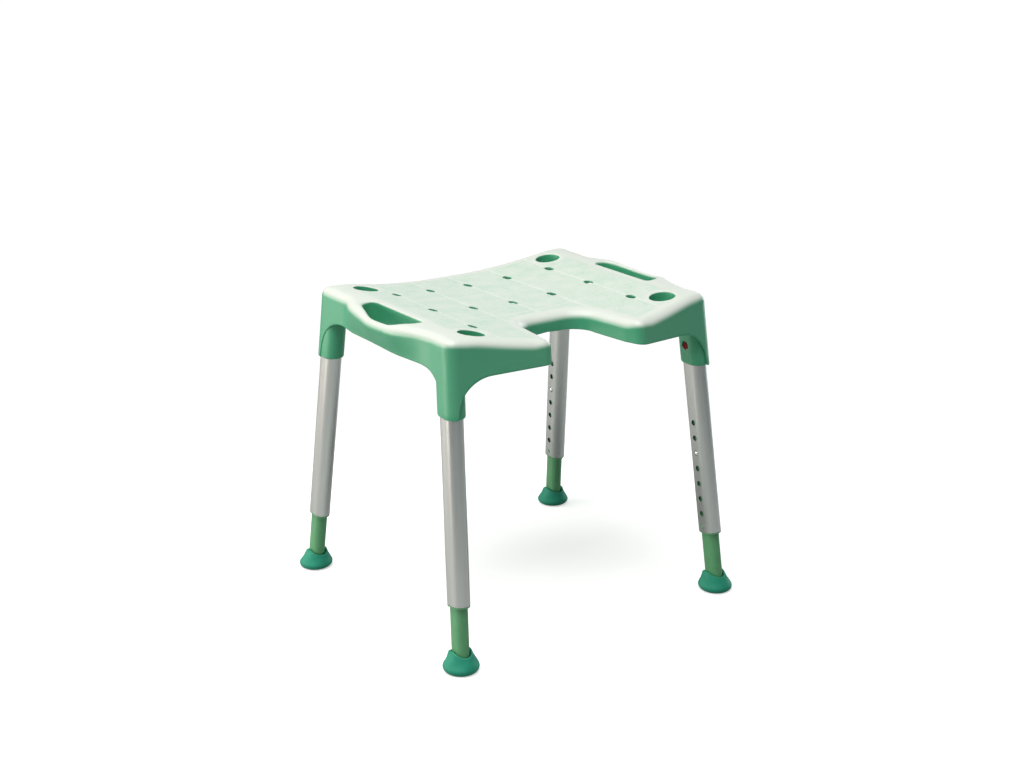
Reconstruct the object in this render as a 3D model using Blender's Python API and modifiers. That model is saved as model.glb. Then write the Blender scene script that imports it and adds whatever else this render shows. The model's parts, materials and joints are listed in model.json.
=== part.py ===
"""Height-adjustable shower stool: a moulded seat on four telescopic legs.

Metres, +Z up, origin on the floor under the middle of the stool. +X is the user's left-right
direction, and -Y is the front, where the seat has its hygiene cut-out. Every leg leans on one
straight axis. Its pieces are modelled in the leg's own frame: origin where the axis meets the
floor, +Z up the axis and +X towards the middle of the stool.
"""
import math

import bmesh
import bpy
from mathutils import Matrix, Vector

# Leg axes: where they meet the floor, and how far they lean in for each metre of height
LEG_X = 0.2423
LEG_Y = 0.2231
LEAN_X = 0.052
LEAN_Y = 0.125

# Seat moulding: heights above the floor
SEAT_MIDDLE_Z = 0.464
SEAT_RIM_Z = 0.484
SOCKET_BOTTOM_Z = 0.3715
SOCKET_TOP_Z = 0.4815
BORE_TOP_Z = 0.4560
OUTLINE_Z = 0.470
SEAT_HALF_DEPTH = 0.190
RIB_BOTTOM_Z = 0.452
SLEEVE_BOTTOM_Z = 0.446
DISH_RADIUS = 0.9615
DISH_SIDES = 190
SEAT_WALL = 0.0035
SEAT_PLATE = 0.004
EDGE_ROUND = 0.009

# Seat plan, right half, from the middle of the back to the middle of the cut-out: x, y, corner radius
SEAT_HALF_PLAN = (
    (0.0, 0.204, 0.0),
    (0.2360, 0.1895, 0.021),
    (0.2340, 0.095, 0.060),
    (0.2530, 0.045, 0.060),
    (0.2530, -0.075, 0.060),
    (0.2340, -0.122, 0.060),
    (0.2360, -0.1885, 0.020),
    (0.0800, -0.219, 0.014),
    (0.0690, -0.190, 0.030),
    (0.0570, -0.097, 0.040),
    (0.0, -0.095, 0.0),
)

# Cut-aways under the skirt: half width below, half width at the top, height at the legs and in
# the middle, radius
SIDE_ARCH = (0.1830, 0.1780, 0.434, 0.441, 0.062)
END_ARCH = (0.2330, 0.2240, 0.427, 0.438, 0.058)

# The hand-holds dip between the corners: place and height of the outer rim, slope, dip radius
SCOOP_AT = (0.253, -0.015, 0.472)
SCOOP_SLOPE = math.radians(22)
SCOOP_RADIUS = 0.204

# Handle slots, drain holes and corner holes in the seat
SLOT_PLAN = (
    (0.2060, 0.060, 0.009),
    (0.2330, 0.056, 0.016),
    (0.2415, 0.015, 0.050),
    (0.2415, -0.048, 0.034),
    (0.2065, -0.080, 0.010),
)
SLOT_WALL = 0.003
DRAIN_DIAMETER = 0.0115
DRAIN_STRETCH = 1.15
DRAIN_ROWS = (
    (0.123, (0.0,)),
    (0.119, (-0.073, 0.073)),
    (0.102, (-0.145, 0.145)),
    (-0.005, (-0.145, -0.073, 0.0, 0.073, 0.145)),
    (-0.113, (-0.145, 0.145)),
)
CORNER_HOLE_RADIUS = 0.019
CORNER_HOLE_X = 0.174
CORNER_HOLE_BACK_Y = 0.147
CORNER_HOLE_FRONT_Y = -0.153
RIB_X = (-0.109, -0.0365, 0.0365, 0.109)
RIB_Y = (-0.060, 0.060)
RIB_THICKNESS = 0.003

# Sockets in the seat, and the aluminium tubes in them: widths across the leg's X and Y
SOCKET_OUTER = (0.033, 0.0465)
TUBE_OUTER = (0.027, 0.039)
TUBE_WALL = 0.0015
TUBE_BOTTOM = 0.0990
TUBE_TOP = 0.4550
GAP = 0.0003

# Height holes, counted from the lowest
HOLE_PITCH = 0.025
HOLE_COUNT = 7
LOWEST_HOLE = 0.1299
SNAP_HOLE = 4
HOLE_DIAMETER = 0.0085

# Inner leg with its guide head, and the bush that it slides in
INNER_OUTER = (0.0205, 0.0305)
INNER_WALL = 0.0022
INNER_BOTTOM = 0.0100
INNER_TOP = 0.3000
HEAD_LENGTH = 0.014
BUSH_TOP = 0.1240
BUSH_LIP = 0.0020
NUB_HEIGHT = 0.1080
NUB_DIAMETER = 0.0050

# Buttons: flange, shaft, and how far the tip reaches from the leg's axis
SNAP_DIAMETER = 0.0080
SNAP_FLANGE = (0.0066, 0.0077, 0.0055)
SNAP_TIP = 0.0150
LOCK_HEIGHT = 0.4047
LOCK_DIAMETER = 0.0106
LOCK_FLANGE = (0.0098, 0.0112, 0.0068)
LOCK_TIP = 0.0163
LOCK_TUBE_HOLE = 0.0112
LOCK_SOCKET_HOLE = 0.0138

# Spring clips: flat strip, and the distance from the button to the bend
CLIP_THICKNESS = 0.0008
CLIP_WIDTH = 0.0080
CLIP_REACH = 0.036

# Rubber foot: height, half width across X and across Y of each ring
FOOT_RINGS = (
    (0.0000, 0.0215, 0.0215),
    (0.0030, 0.0250, 0.0250),
    (0.0075, 0.0270, 0.0270),
    (0.0120, 0.0255, 0.0258),
    (0.0205, 0.0192, 0.0222),
    (0.0280, 0.0155, 0.0200),
)
FOOT_SIDES = 28

LEGS = (
    ("front_left", -1, -1),
    ("front_right", 1, -1),
    ("back_left", -1, 1),
    ("back_right", 1, 1),
)

COLOURS = {
    "seat_mint_plastic": ((0.47, 0.72, 0.56), 0.42, 0.0),
    "leg_aluminium": ((0.62, 0.63, 0.65), 0.36, 1.0),
    "inner_leg_plastic": ((0.35, 0.55, 0.30), 0.40, 0.0),
    "bush_plastic": ((0.40, 0.70, 0.55), 0.40, 0.0),
    "foot_rubber": ((0.28, 0.58, 0.43), 0.65, 0.0),
    "button_red": ((0.55, 0.02, 0.02), 0.35, 0.0),
    "button_steel": ((0.75, 0.75, 0.76), 0.20, 1.0),
    "spring_steel": ((0.50, 0.50, 0.52), 0.30, 1.0),
}


def start_collections():
    """Empty the scene, and return the collections of the model and of its cutters."""
    for old in list(bpy.data.objects):
        bpy.data.objects.remove(old)
    model = bpy.data.collections.new("shower_stool")
    cutters = bpy.data.collections.new("cutters")
    for collection in (model, cutters):
        bpy.context.scene.collection.children.link(collection)
    return model, cutters


def make_materials():
    """One Principled material for each finish."""
    made = {}
    for name, (colour, roughness, metallic) in COLOURS.items():
        finish = bpy.data.materials.new(name)
        finish.use_nodes = True
        shader = finish.node_tree.nodes["Principled BSDF"]
        shader.inputs["Base Color"].default_value = (*colour, 1.0)
        shader.inputs["Roughness"].default_value = roughness
        shader.inputs["Metallic"].default_value = metallic
        made[name] = finish
    return made


MODEL, CUTTERS = start_collections()
FINISH = make_materials()


def as_cutter(cutter):
    """Put an object among the cutters, where it is neither rendered nor built."""
    for collection in list(cutter.users_collection):
        collection.objects.unlink(cutter)
    CUTTERS.objects.link(cutter)
    cutter.hide_render = True
    cutter.display_type = "WIRE"
    return cutter


def mesh_object(name, mesh):
    """A new object for a mesh, among the cutters until it is finished."""
    return as_cutter(bpy.data.objects.new(name, mesh))


def arc_corner(before, corner, after, radius, steps=7):
    """The points that round one corner of a polygon."""
    towards = (before - corner).normalized()
    away = (after - corner).normalized()
    half = math.acos(max(-1.0, min(1.0, towards.dot(away)))) / 2
    if radius <= 0 or half > math.radians(89.5):
        return [corner]
    reach = radius / math.tan(half)
    middle = corner + (towards + away).normalized() * (radius / math.sin(half))
    first = corner + towards * reach - middle
    last = corner + away * reach - middle
    turn = first.angle_signed(last)
    count = max(2, math.ceil(abs(turn) / math.radians(90) * steps))
    rotations = (Matrix.Rotation(-turn * i / count, 2) for i in range(count + 1))
    return [middle + rotation @ first for rotation in rotations]


def rounded(corners):
    """A closed outline through corners given as x, y and radius."""
    flat = [Vector(corner[:2]) for corner in corners]
    points = []
    for i, (_, _, radius) in enumerate(corners):
        points += arc_corner(flat[i - 1], flat[i], flat[(i + 1) % len(flat)], radius)
    return points


def mirrored(half):
    """A whole outline from its right half, whose ends lie on x = 0."""
    return list(half) + [(-x, y, radius) for x, y, radius in reversed(half[1:-1])]


def oval(width, length, steps=5):
    """A flat oval: straight along Y, with half circles of the width at both ends."""
    radius = width / 2
    straight = length / 2 - radius
    angles = [math.pi * i / (2 * steps) for i in range(2 * steps + 1)]
    near = [Vector((radius * math.cos(a), straight + radius * math.sin(a))) for a in angles]
    return near + [-point for point in near]


def offset_outline(points, distance):
    """The outline moved inwards by a distance, along the normals at its points."""
    area = sum(a.cross(b) for a, b in zip(points, points[1:] + points[:1]))
    side = 1 if area > 0 else -1
    moved = []
    for i, point in enumerate(points):
        before = (point - points[i - 1]).normalized()
        after = (points[(i + 1) % len(points)] - point).normalized()
        along = (before + after).normalized()
        normal = Vector((-along.y, along.x)) * side
        moved.append(point + normal * distance / max(0.3, along.dot(after)))
    return moved


def slab(name, points, low, high):
    """A flat outline extruded from one height to another, as a mesh among the cutters."""
    curve = bpy.data.curves.new(name, "CURVE")
    curve.dimensions = "2D"
    curve.fill_mode = "BOTH"
    curve.extrude = (high - low) / 2
    spline = curve.splines.new("POLY")
    spline.points.add(len(points) - 1)
    for target, point in zip(spline.points, points):
        target.co = (point.x, point.y, 0.0, 1.0)
    spline.use_cyclic_u = True
    drawn = bpy.data.objects.new(name + "_outline", curve)
    drawn.location.z = (low + high) / 2
    CUTTERS.objects.link(drawn)
    return solid_of(drawn, name)


def solid_of(drawn, name):
    """A curve object made a mesh object with its caps welded, and the curve removed."""
    bpy.context.view_layer.update()
    ready = drawn.evaluated_get(bpy.context.evaluated_depsgraph_get())
    mesh = bpy.data.meshes.new_from_object(ready)
    mesh.transform(drawn.matrix_world)
    work = bmesh.new()
    work.from_mesh(mesh)
    bmesh.ops.remove_doubles(work, verts=work.verts, dist=0.00001)
    bmesh.ops.recalc_face_normals(work, faces=work.faces)
    work.to_mesh(mesh)
    work.free()
    bpy.data.objects.remove(drawn)
    return mesh_object(name, mesh)


def block(name, low, high):
    """A box between two corners."""
    work = bmesh.new()
    bmesh.ops.create_cube(work, size=1.0)
    size = [b - a for a, b in zip(low, high)]
    middle = [(a + b) / 2 for a, b in zip(low, high)]
    bmesh.ops.scale(work, vec=size, verts=work.verts)
    bmesh.ops.translate(work, vec=middle, verts=work.verts)
    mesh = bpy.data.meshes.new(name)
    work.to_mesh(mesh)
    work.free()
    return mesh_object(name, mesh)


def rod(name, radius, low, high, sides=24, matrix=None):
    """A cylinder along Z from one height to another, then placed by a matrix."""
    work = bmesh.new()
    bmesh.ops.create_cone(
        work, cap_ends=True, segments=sides, radius1=radius, radius2=radius, depth=high - low
    )
    bmesh.ops.translate(work, vec=(0.0, 0.0, (low + high) / 2), verts=work.verts)
    if matrix is not None:
        bmesh.ops.transform(work, matrix=matrix, verts=work.verts)
    mesh = bpy.data.meshes.new(name)
    work.to_mesh(mesh)
    work.free()
    return mesh_object(name, mesh)


def boolean(target, tool, operation="DIFFERENCE"):
    """Cut a tool from a target, or join it to the target."""
    change = target.modifiers.new(tool.name, "BOOLEAN")
    change.operation = operation
    change.solver = "EXACT"
    change.object = tool
    return target


def joined(name, tools):
    """Several cutters as the separate shells of one cutter."""
    work = bmesh.new()
    for tool in tools:
        mesh = tool.data
        start = len(work.verts)
        work.from_mesh(mesh)
        work.verts.ensure_lookup_table()
        bmesh.ops.transform(work, matrix=tool.matrix_world, verts=work.verts[start:])
        bpy.data.objects.remove(tool)
    mesh = bpy.data.meshes.new(name)
    work.to_mesh(mesh)
    work.free()
    return mesh_object(name, mesh)


def bake(target):
    """Apply a cutter's Booleans, so that the cutter can be used as plain geometry."""
    bpy.context.view_layer.update()
    ready = target.evaluated_get(bpy.context.evaluated_depsgraph_get())
    mesh = bpy.data.meshes.new_from_object(ready)
    target.modifiers.clear()
    target.data = mesh
    return target


def leg_frame(side_x, side_y):
    """The matrix of a leg's frame: origin on the floor, +Z up the axis, +X to the middle."""
    up = Vector((-side_x * LEAN_X, -side_y * LEAN_Y, 1.0)).normalized()
    inward = Vector((-side_x, 0.0, 0.0))
    inward = (inward - up * inward.dot(up)).normalized()
    across = up.cross(inward)
    frame = Matrix((inward, across, up)).transposed().to_4x4()
    frame.translation = (side_x * LEG_X, side_y * LEG_Y, 0.0)
    return frame


def sideways(height):
    """The matrix that lays a turned piece along a leg's X at a height on its axis."""
    return Matrix.Translation((0.0, 0.0, height)) @ Matrix.Rotation(math.pi / 2, 4, "Y")


def finish_piece(made, name, material, owner=None, smooth_angle=35):
    """Name a finished piece, give it its material and put it, with its cutters, under its owner."""
    for collection in list(made.users_collection):
        collection.objects.unlink(made)
    MODEL.objects.link(made)
    made.hide_render = False
    made.display_type = "TEXTURED"
    made.name = name
    made.data.name = name
    made.data.materials.clear()
    made.data.materials.append(FINISH[material])
    made.data.shade_smooth()
    made.data.set_sharp_from_angle(angle=math.radians(smooth_angle))
    if owner is not None:
        made.parent = owner
        for change in made.modifiers:
            if change.type == "BOOLEAN":
                change.object.parent = owner
    return made


def splay(target):
    """Lean the walls of the seat outwards below its outline, as the legs lean."""
    work = bmesh.new()
    work.from_mesh(target.data)
    bmesh.ops.triangulate(work, faces=work.faces)
    for vertex in work.verts:
        drop = OUTLINE_Z - vertex.co.z
        if drop > 0:
            vertex.co.x *= 1 + drop * LEAN_X / LEG_X
            vertex.co.y *= 1 + drop * LEAN_Y / SEAT_HALF_DEPTH
    work.to_mesh(target.data)
    work.free()


def round_top(target, height, radius):
    """Round the top rim of an extruded outline."""
    work = bmesh.new()
    work.from_mesh(target.data)
    bmesh.ops.dissolve_limit(
        work, angle_limit=math.radians(0.2), verts=work.verts, edges=work.edges
    )
    rim = [edge for edge in work.edges if min(v.co.z for v in edge.verts) > height - GAP]
    bmesh.ops.bevel(work, geom=rim, offset=radius, segments=3, profile=0.5, affect="EDGES")
    work.to_mesh(target.data)
    work.free()


def handle_scoops(name, plate):
    """The shallow dips in the outer rims of both hand-holds, or a plate's thickness below them."""
    rods = []
    for side in (-1, 1):
        x, y, z = SCOOP_AT
        place = (
            Matrix.Translation((side * x, y, z))
            @ Matrix.Rotation(side * SCOOP_SLOPE, 4, "Y")
            @ Matrix.Translation((0.0, 0.0, SCOOP_RADIUS))
            @ Matrix.Rotation(math.pi / 2, 4, "Y")
        )
        rods.append(rod(name, SCOOP_RADIUS + plate, -0.05, 0.05, sides=64, matrix=place))
    return joined(name, rods)


def dish(name, radius):
    """The cylinder along Y that hollows the seat's top, or its underside, across X."""
    centre_z = SEAT_MIDDLE_Z + DISH_RADIUS
    half_side = Matrix.Rotation(math.pi / DISH_SIDES, 4, "Z")
    lay = Matrix.Translation((0.0, 0.0, centre_z)) @ Matrix.Rotation(math.pi / 2, 4, "X") @ half_side
    return rod(name, radius, -0.3, 0.3, sides=DISH_SIDES, matrix=lay)


def arch(name, shape, along_x):
    """The space under an arched skirt, from below the seat to the arch, right through it."""
    low_half, top_half, leg_height, middle_height, radius = shape
    below = SOCKET_BOTTOM_Z - 0.05
    corners = (
        (-low_half, below, 0.0),
        (low_half, below, 0.0),
        (top_half, leg_height, radius),
        (0.0, middle_height, 0.0),
        (-top_half, leg_height, radius),
    )
    cut = slab(name, rounded(corners), -0.3, 0.3)
    turn = Matrix.Rotation(math.pi / 2, 4, "X")
    if along_x:
        turn = Matrix.Rotation(math.pi / 2, 4, "Z") @ turn
    cut.data.transform(turn)
    return cut


def leg_columns(name, size, low, high, steps=5):
    """One flat oval column up each leg's axis, with level ends."""
    columns = []
    for leg, side_x, side_y in LEGS:
        column = slab(f"{name}_{leg}", oval(*size, steps), low, high)
        lean = Matrix.Identity(4)
        lean.translation = (side_x * LEG_X, side_y * LEG_Y, 0.0)
        lean[0][2] = -side_x * LEAN_X
        lean[1][2] = -side_y * LEAN_Y
        column.data.transform(lean)
        columns.append(column)
    return joined(name, columns)


def make_seat():
    """The seat: one moulding with its skirt, sockets, slots, holes and ribs."""
    outline = rounded(mirrored(SEAT_HALF_PLAN))
    seat = slab("seat_shell", outline, SOCKET_BOTTOM_Z, SEAT_RIM_Z)
    round_top(seat, SEAT_RIM_Z, EDGE_ROUND)
    splay(seat)

    inner = offset_outline(outline, SEAT_WALL)
    core = slab("core", inner, SOCKET_BOTTOM_Z - 0.04, SEAT_RIM_Z - SEAT_PLATE)
    splay(core)
    slots = slot_cutters("slot_sleeves", -SLOT_WALL, SLEEVE_BOTTOM_Z, 0.500)
    sleeves = corner_cutters("corner_sleeves", CORNER_HOLE_RADIUS + SLOT_WALL, SLEEVE_BOTTOM_Z)
    for kept in (
        dish("dish_underside", DISH_RADIUS + SEAT_PLATE),
        handle_scoops("scoop_underside", SEAT_PLATE),
        slots,
        sleeves,
        ribs(),
    ):
        boolean(core, kept)

    boolean(seat, dish("dish_top", DISH_RADIUS))
    boolean(seat, bake(core))
    boolean(seat, arch("side_arch", SIDE_ARCH, along_x=True))
    boolean(seat, arch("end_arch", END_ARCH, along_x=False))
    columns = leg_columns("socket_columns", SOCKET_OUTER, SOCKET_BOTTOM_Z, SOCKET_TOP_Z)
    boolean(seat, columns, "UNION")
    for tool in (
        handle_scoops("scoops", 0.0),
        slot_cutters("slots", 0.0, 0.40, 0.52),
        corner_cutters("corner_holes", CORNER_HOLE_RADIUS, 0.40),
        drain_cutters(),
        leg_columns("bores", [size + 2 * GAP for size in TUBE_OUTER], 0.340, BORE_TOP_Z),
        lock_holes(),
    ):
        boolean(seat, tool)
    return finish_piece(seat, "seat_shell", "seat_mint_plastic")


def slot_cutters(name, inset, low, high):
    """Both handle slots, or with a negative inset the sleeves around them."""
    outline = offset_outline(rounded(SLOT_PLAN), inset)
    right = slab(name + "_right", outline, low, high)
    mirrored_outline = [Vector((-point.x, point.y)) for point in reversed(outline)]
    left = slab(name + "_left", mirrored_outline, low, high)
    return joined(name, [right, left])


def corner_cutters(name, radius, low):
    """The four round corner holes, or the sleeves around them."""
    rods = []
    for x in (-CORNER_HOLE_X, CORNER_HOLE_X):
        for y in (CORNER_HOLE_FRONT_Y, CORNER_HOLE_BACK_Y):
            place = Matrix.Translation((x, y, 0.0))
            rods.append(rod(name, radius, low, 0.500, sides=24, matrix=place))
    return joined(name, rods)


def drain_cutters():
    """The drain holes, a little longer from front to back than across."""
    rods = []
    for y, columns in DRAIN_ROWS:
        for x in columns:
            place = Matrix.Translation((x, y, 0.0)) @ Matrix.Diagonal((1, DRAIN_STRETCH, 1, 1))
            rods.append(rod("drain", DRAIN_DIAMETER / 2, 0.42, 0.52, sides=10, matrix=place))
    return joined("drain_holes", rods)


def ribs():
    """The stiffening ribs under the seat, as one grid."""
    half = RIB_THICKNESS / 2
    low, high = RIB_BOTTOM_Z, 0.500
    along = [block("rib", (x - half, -0.25, low), (x + half, 0.25, high)) for x in RIB_X]
    across = [block("rib", (-0.3, y - half, low), (0.3, y + half, high)) for y in RIB_Y]
    grid = joined("ribs_along", along)
    boolean(grid, joined("ribs_across", across), "UNION")
    return bake(grid)


def lock_holes():
    """The holes in the sockets' inner walls that the red buttons stand in."""
    holes = []
    for leg, side_x, side_y in LEGS:
        place = leg_frame(side_x, side_y) @ sideways(LOCK_HEIGHT)
        holes.append(rod(leg, LOCK_SOCKET_HOLE / 2, 0.0, 0.030, sides=16, matrix=place))
    return joined("lock_holes", holes)


def make_tube(name, owner):
    """The aluminium tube, with its row of height holes and the holes of nub and lock button."""
    tube = slab(name, oval(*TUBE_OUTER), TUBE_BOTTOM, TUBE_TOP)
    bore = [size - 2 * TUBE_WALL for size in TUBE_OUTER]
    boolean(tube, slab(name + "_bore", oval(*bore), TUBE_BOTTOM - 0.01, TUBE_TOP + 0.01))
    heights = [LOWEST_HOLE + i * HOLE_PITCH for i in range(HOLE_COUNT)]
    holes = [(height, HOLE_DIAMETER, 12) for height in heights]
    holes += [(NUB_HEIGHT, NUB_DIAMETER + 2 * GAP, 8), (LOCK_HEIGHT, LOCK_TUBE_HOLE, 16)]
    rods = [rod("hole", d / 2, 0.005, 0.030, n, sideways(height)) for height, d, n in holes]
    boolean(tube, joined(name + "_holes", rods))
    return finish_piece(tube, name, "leg_aluminium", owner)


def make_bush(name, owner):
    """The sleeve in the tube's mouth: a lip under the tube's end, and a nub that snaps in a hole."""
    fit = [size - 2 * TUBE_WALL - 2 * GAP for size in TUBE_OUTER]
    bush = slab(name, oval(*fit), TUBE_BOTTOM - BUSH_LIP - GAP, BUSH_TOP)
    lip = slab(name + "_lip", oval(*TUBE_OUTER), TUBE_BOTTOM - BUSH_LIP - GAP, TUBE_BOTTOM - GAP)
    nub = rod(
        name + "_nub", NUB_DIAMETER / 2, 0.0105, TUBE_OUTER[0] / 2 + GAP, 8, sideways(NUB_HEIGHT)
    )
    bore = [size + 2 * GAP for size in INNER_OUTER]
    boolean(bush, lip, "UNION")
    boolean(bush, nub, "UNION")
    boolean(bush, slab(name + "_bore", oval(*bore), TUBE_BOTTOM - 0.02, BUSH_TOP + 0.01))
    return finish_piece(bush, name, "bush_plastic", owner)


def make_inner_leg(name, owner, snap_height):
    """The hollow inner leg, with a guide head at its top and a hole for the snap button."""
    inner = slab(name, oval(*INNER_OUTER), INNER_BOTTOM, INNER_TOP)
    head_size = [size - 2 * TUBE_WALL - 2 * GAP for size in TUBE_OUTER]
    head = slab(name + "_head", oval(*head_size), INNER_TOP - HEAD_LENGTH, INNER_TOP)
    bore = [size - 2 * INNER_WALL for size in INNER_OUTER]
    boolean(inner, head, "UNION")
    boolean(inner, slab(name + "_bore", oval(*bore), INNER_BOTTOM - 0.01, INNER_TOP + 0.01))
    hole = rod(name + "_hole", SNAP_DIAMETER / 2 + GAP, 0.002, 0.030, 12, sideways(snap_height))
    boolean(inner, hole)
    return finish_piece(inner, name, "inner_leg_plastic", owner)


def make_button(name, owner, material, height, diameter, flange, tip, sides):
    """A turned button with a flange, a shaft and a domed tip, which points along the leg's X."""
    back, front, flange_radius = flange
    radius = diameter / 2
    dome = radius * 0.22
    profile = [
        (0.0, tip),
        (radius * 0.7, tip - dome * 0.4),
        (radius, tip - dome * 1.6),
        (radius, front),
        (flange_radius, front),
        (flange_radius, back),
        (0.0, back),
    ]
    mesh = bpy.data.meshes.new(name)
    edges = [(i, i + 1) for i in range(len(profile) - 1)]
    mesh.from_pydata([(r, 0.0, z) for r, z in profile], edges, [])
    made = mesh_object(name, mesh)
    turn = made.modifiers.new("turn", "SCREW")
    turn.steps = sides
    turn.render_steps = sides
    turn.use_merge_vertices = True
    turn.merge_threshold = 0.00001
    made.matrix_local = sideways(height)
    return finish_piece(made, name, material, owner)


def make_clip(name, owner, height, front, back, upwards):
    """The bent flat spring behind a button: one arm on the button, one on the far wall."""
    way = 1 if upwards else -1
    path = (
        (front, -0.005),
        (front, 0.005),
        (0.0015, CLIP_REACH - 0.001),
        (0.0, CLIP_REACH),
        (-0.0015, CLIP_REACH - 0.001),
        (back, 0.006),
        (back, -0.008),
    )
    half = CLIP_WIDTH / 2
    rows = [[(x, y, height + way * z) for x, z in path] for y in (-half, half)]
    count = len(path)
    work = bmesh.new()
    low, high = ([work.verts.new(point) for point in row] for row in rows)
    for i in range(count - 1):
        work.faces.new((low[i], low[i + 1], high[i + 1], high[i]))
    bmesh.ops.recalc_face_normals(work, faces=work.faces)
    mesh = bpy.data.meshes.new(name)
    work.to_mesh(mesh)
    work.free()
    made = mesh_object(name, mesh)
    strip = made.modifiers.new("strip", "SOLIDIFY")
    strip.thickness = CLIP_THICKNESS
    strip.offset = 0.0
    return finish_piece(made, name, "spring_steel", owner)


def make_foot(name, side_x, side_y):
    """The rubber foot: a loft from a round sole to an oval rim around the leaning leg."""
    work = bmesh.new()
    rings = []
    for height, half_x, half_y in FOOT_RINGS:
        ring = []
        for i in range(FOOT_SIDES):
            angle = 2 * math.pi * i / FOOT_SIDES
            x = half_x * math.cos(angle) - side_x * LEAN_X * height
            y = half_y * math.sin(angle) - side_y * LEAN_Y * height
            ring.append(work.verts.new((x, y, height)))
        rings.append(ring)
    for lower, upper in zip(rings, rings[1:]):
        for i in range(FOOT_SIDES):
            j = (i + 1) % FOOT_SIDES
            work.faces.new((lower[i], lower[j], upper[j], upper[i]))
    work.faces.new(list(reversed(rings[0])))
    work.faces.new(rings[-1])
    mesh = bpy.data.meshes.new(name)
    work.to_mesh(mesh)
    work.free()
    foot = mesh_object(name, mesh)
    foot.location = (side_x * LEG_X, side_y * LEG_Y, 0.0)
    pocket = [size + 2 * GAP for size in INNER_OUTER]
    hole = slab(name + "_pocket", oval(*pocket), INNER_BOTTOM - GAP, 0.060)
    hole.data.transform(leg_frame(side_x, side_y))
    boolean(foot, hole)
    return finish_piece(foot, name, "foot_rubber")


def make_leg(leg, side_x, side_y):
    """All the pieces of one leg, under an empty on the leg's axis."""
    axis = bpy.data.objects.new(leg + "_axis", None)
    axis.matrix_world = leg_frame(side_x, side_y)
    MODEL.objects.link(axis)
    snap_height = LOWEST_HOLE + SNAP_HOLE * HOLE_PITCH
    make_tube(leg + "_leg_tube", axis)
    make_bush(leg + "_guide_bush", axis)
    make_inner_leg(leg + "_inner_leg", axis, snap_height)
    make_button(
        leg + "_height_button", axis, "button_steel", snap_height,
        SNAP_DIAMETER, SNAP_FLANGE, SNAP_TIP, 12,
    )
    make_button(
        leg + "_lock_button", axis, "button_red", LOCK_HEIGHT,
        LOCK_DIAMETER, LOCK_FLANGE, LOCK_TIP, 16,
    )
    arm = CLIP_THICKNESS / 2 + GAP
    inner_wall = INNER_OUTER[0] / 2 - INNER_WALL
    tube_wall = TUBE_OUTER[0] / 2 - TUBE_WALL
    make_clip(
        leg + "_height_spring", axis, snap_height, SNAP_FLANGE[0] - arm, arm - inner_wall, False
    )
    make_clip(
        leg + "_lock_spring", axis, LOCK_HEIGHT, LOCK_FLANGE[0] - arm, arm - tube_wall, True
    )
    make_foot(leg + "_foot", side_x, side_y)


make_seat()
for leg_name, leg_side_x, leg_side_y in LEGS:
    make_leg(leg_name, leg_side_x, leg_side_y)
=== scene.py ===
"""Looks of a height-adjustable shower stool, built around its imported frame.

Metres, +Z up, origin on the floor under the middle of the stool, -Y the front, where the seat has its
hygiene cut-out. The seat is one moulding whose top is a height over the plan, with strips of surface
carried round its outline and round every hole. The pieces of a leg are ovals carried along the leg's
own axis, taken from the frame.
"""

import json
import math

import bpy
import numpy as np
from mathutils import Matrix, Vector
from mathutils.geometry import delaunay_2d_cdt


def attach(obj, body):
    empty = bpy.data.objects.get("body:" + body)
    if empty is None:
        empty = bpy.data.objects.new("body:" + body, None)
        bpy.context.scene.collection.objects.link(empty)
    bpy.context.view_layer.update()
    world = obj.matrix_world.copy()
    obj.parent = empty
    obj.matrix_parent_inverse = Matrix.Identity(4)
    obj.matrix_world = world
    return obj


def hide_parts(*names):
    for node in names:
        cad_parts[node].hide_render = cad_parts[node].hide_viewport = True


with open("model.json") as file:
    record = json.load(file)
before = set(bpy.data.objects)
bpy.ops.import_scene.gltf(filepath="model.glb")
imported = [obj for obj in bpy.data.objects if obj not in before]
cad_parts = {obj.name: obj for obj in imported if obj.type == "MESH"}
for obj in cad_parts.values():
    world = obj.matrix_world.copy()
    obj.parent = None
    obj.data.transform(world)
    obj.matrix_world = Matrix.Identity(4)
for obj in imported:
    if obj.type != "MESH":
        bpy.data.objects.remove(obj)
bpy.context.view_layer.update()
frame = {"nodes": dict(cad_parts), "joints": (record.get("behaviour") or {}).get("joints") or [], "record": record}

bl_info = {
    "name": "Shower Stool",
    "version": (1, 0, 0),
    "blender": (4, 5, 0),
    "location": "3D View > Sidebar > Stool",
    "description": "Builds the moulded seat, telescopic legs and feet of a shower stool around its frame",
    "category": "Add Mesh",
}

# Seat plan, right half, from the middle of the back to the middle of the cut-out: x, y, corner radius
SEAT_HALF_PLAN = (
    (0.0, 0.204, 0.0),
    (0.2360, 0.1895, 0.021),
    (0.2340, 0.102, 0.040),
    (0.2500, 0.066, 0.060),
    (0.2590, 0.000, 0.120),
    (0.2572, -0.064, 0.080),
    (0.2340, -0.128, 0.100),
    (0.2360, -0.1885, 0.020),
    (0.0800, -0.219, 0.014),
    (0.0690, -0.190, 0.030),
    (0.0570, -0.097, 0.040),
    (0.0, -0.095, 0.0),
)

# Half the seat's width without the hand-holds, which stand out at the top only
BODY_HALF_WIDTH = 0.2362

# Heights above the floor
SEAT_MIDDLE_Z = 0.464
SEAT_RIM_Z = 0.484
OUTLINE_Z = 0.470
SLEEVE_BOTTOM_Z = 0.446
RIB_BOTTOM_Z = 0.452
SOCKET_BOTTOM_Z = 0.3715
BORE_TOP_Z = 0.4560
DISH_RADIUS = 0.9615

# The seat's walls lean out below the outline, by these shares of x and of y for each metre
SPLAY = np.array((0.2146, 0.6579))

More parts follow.
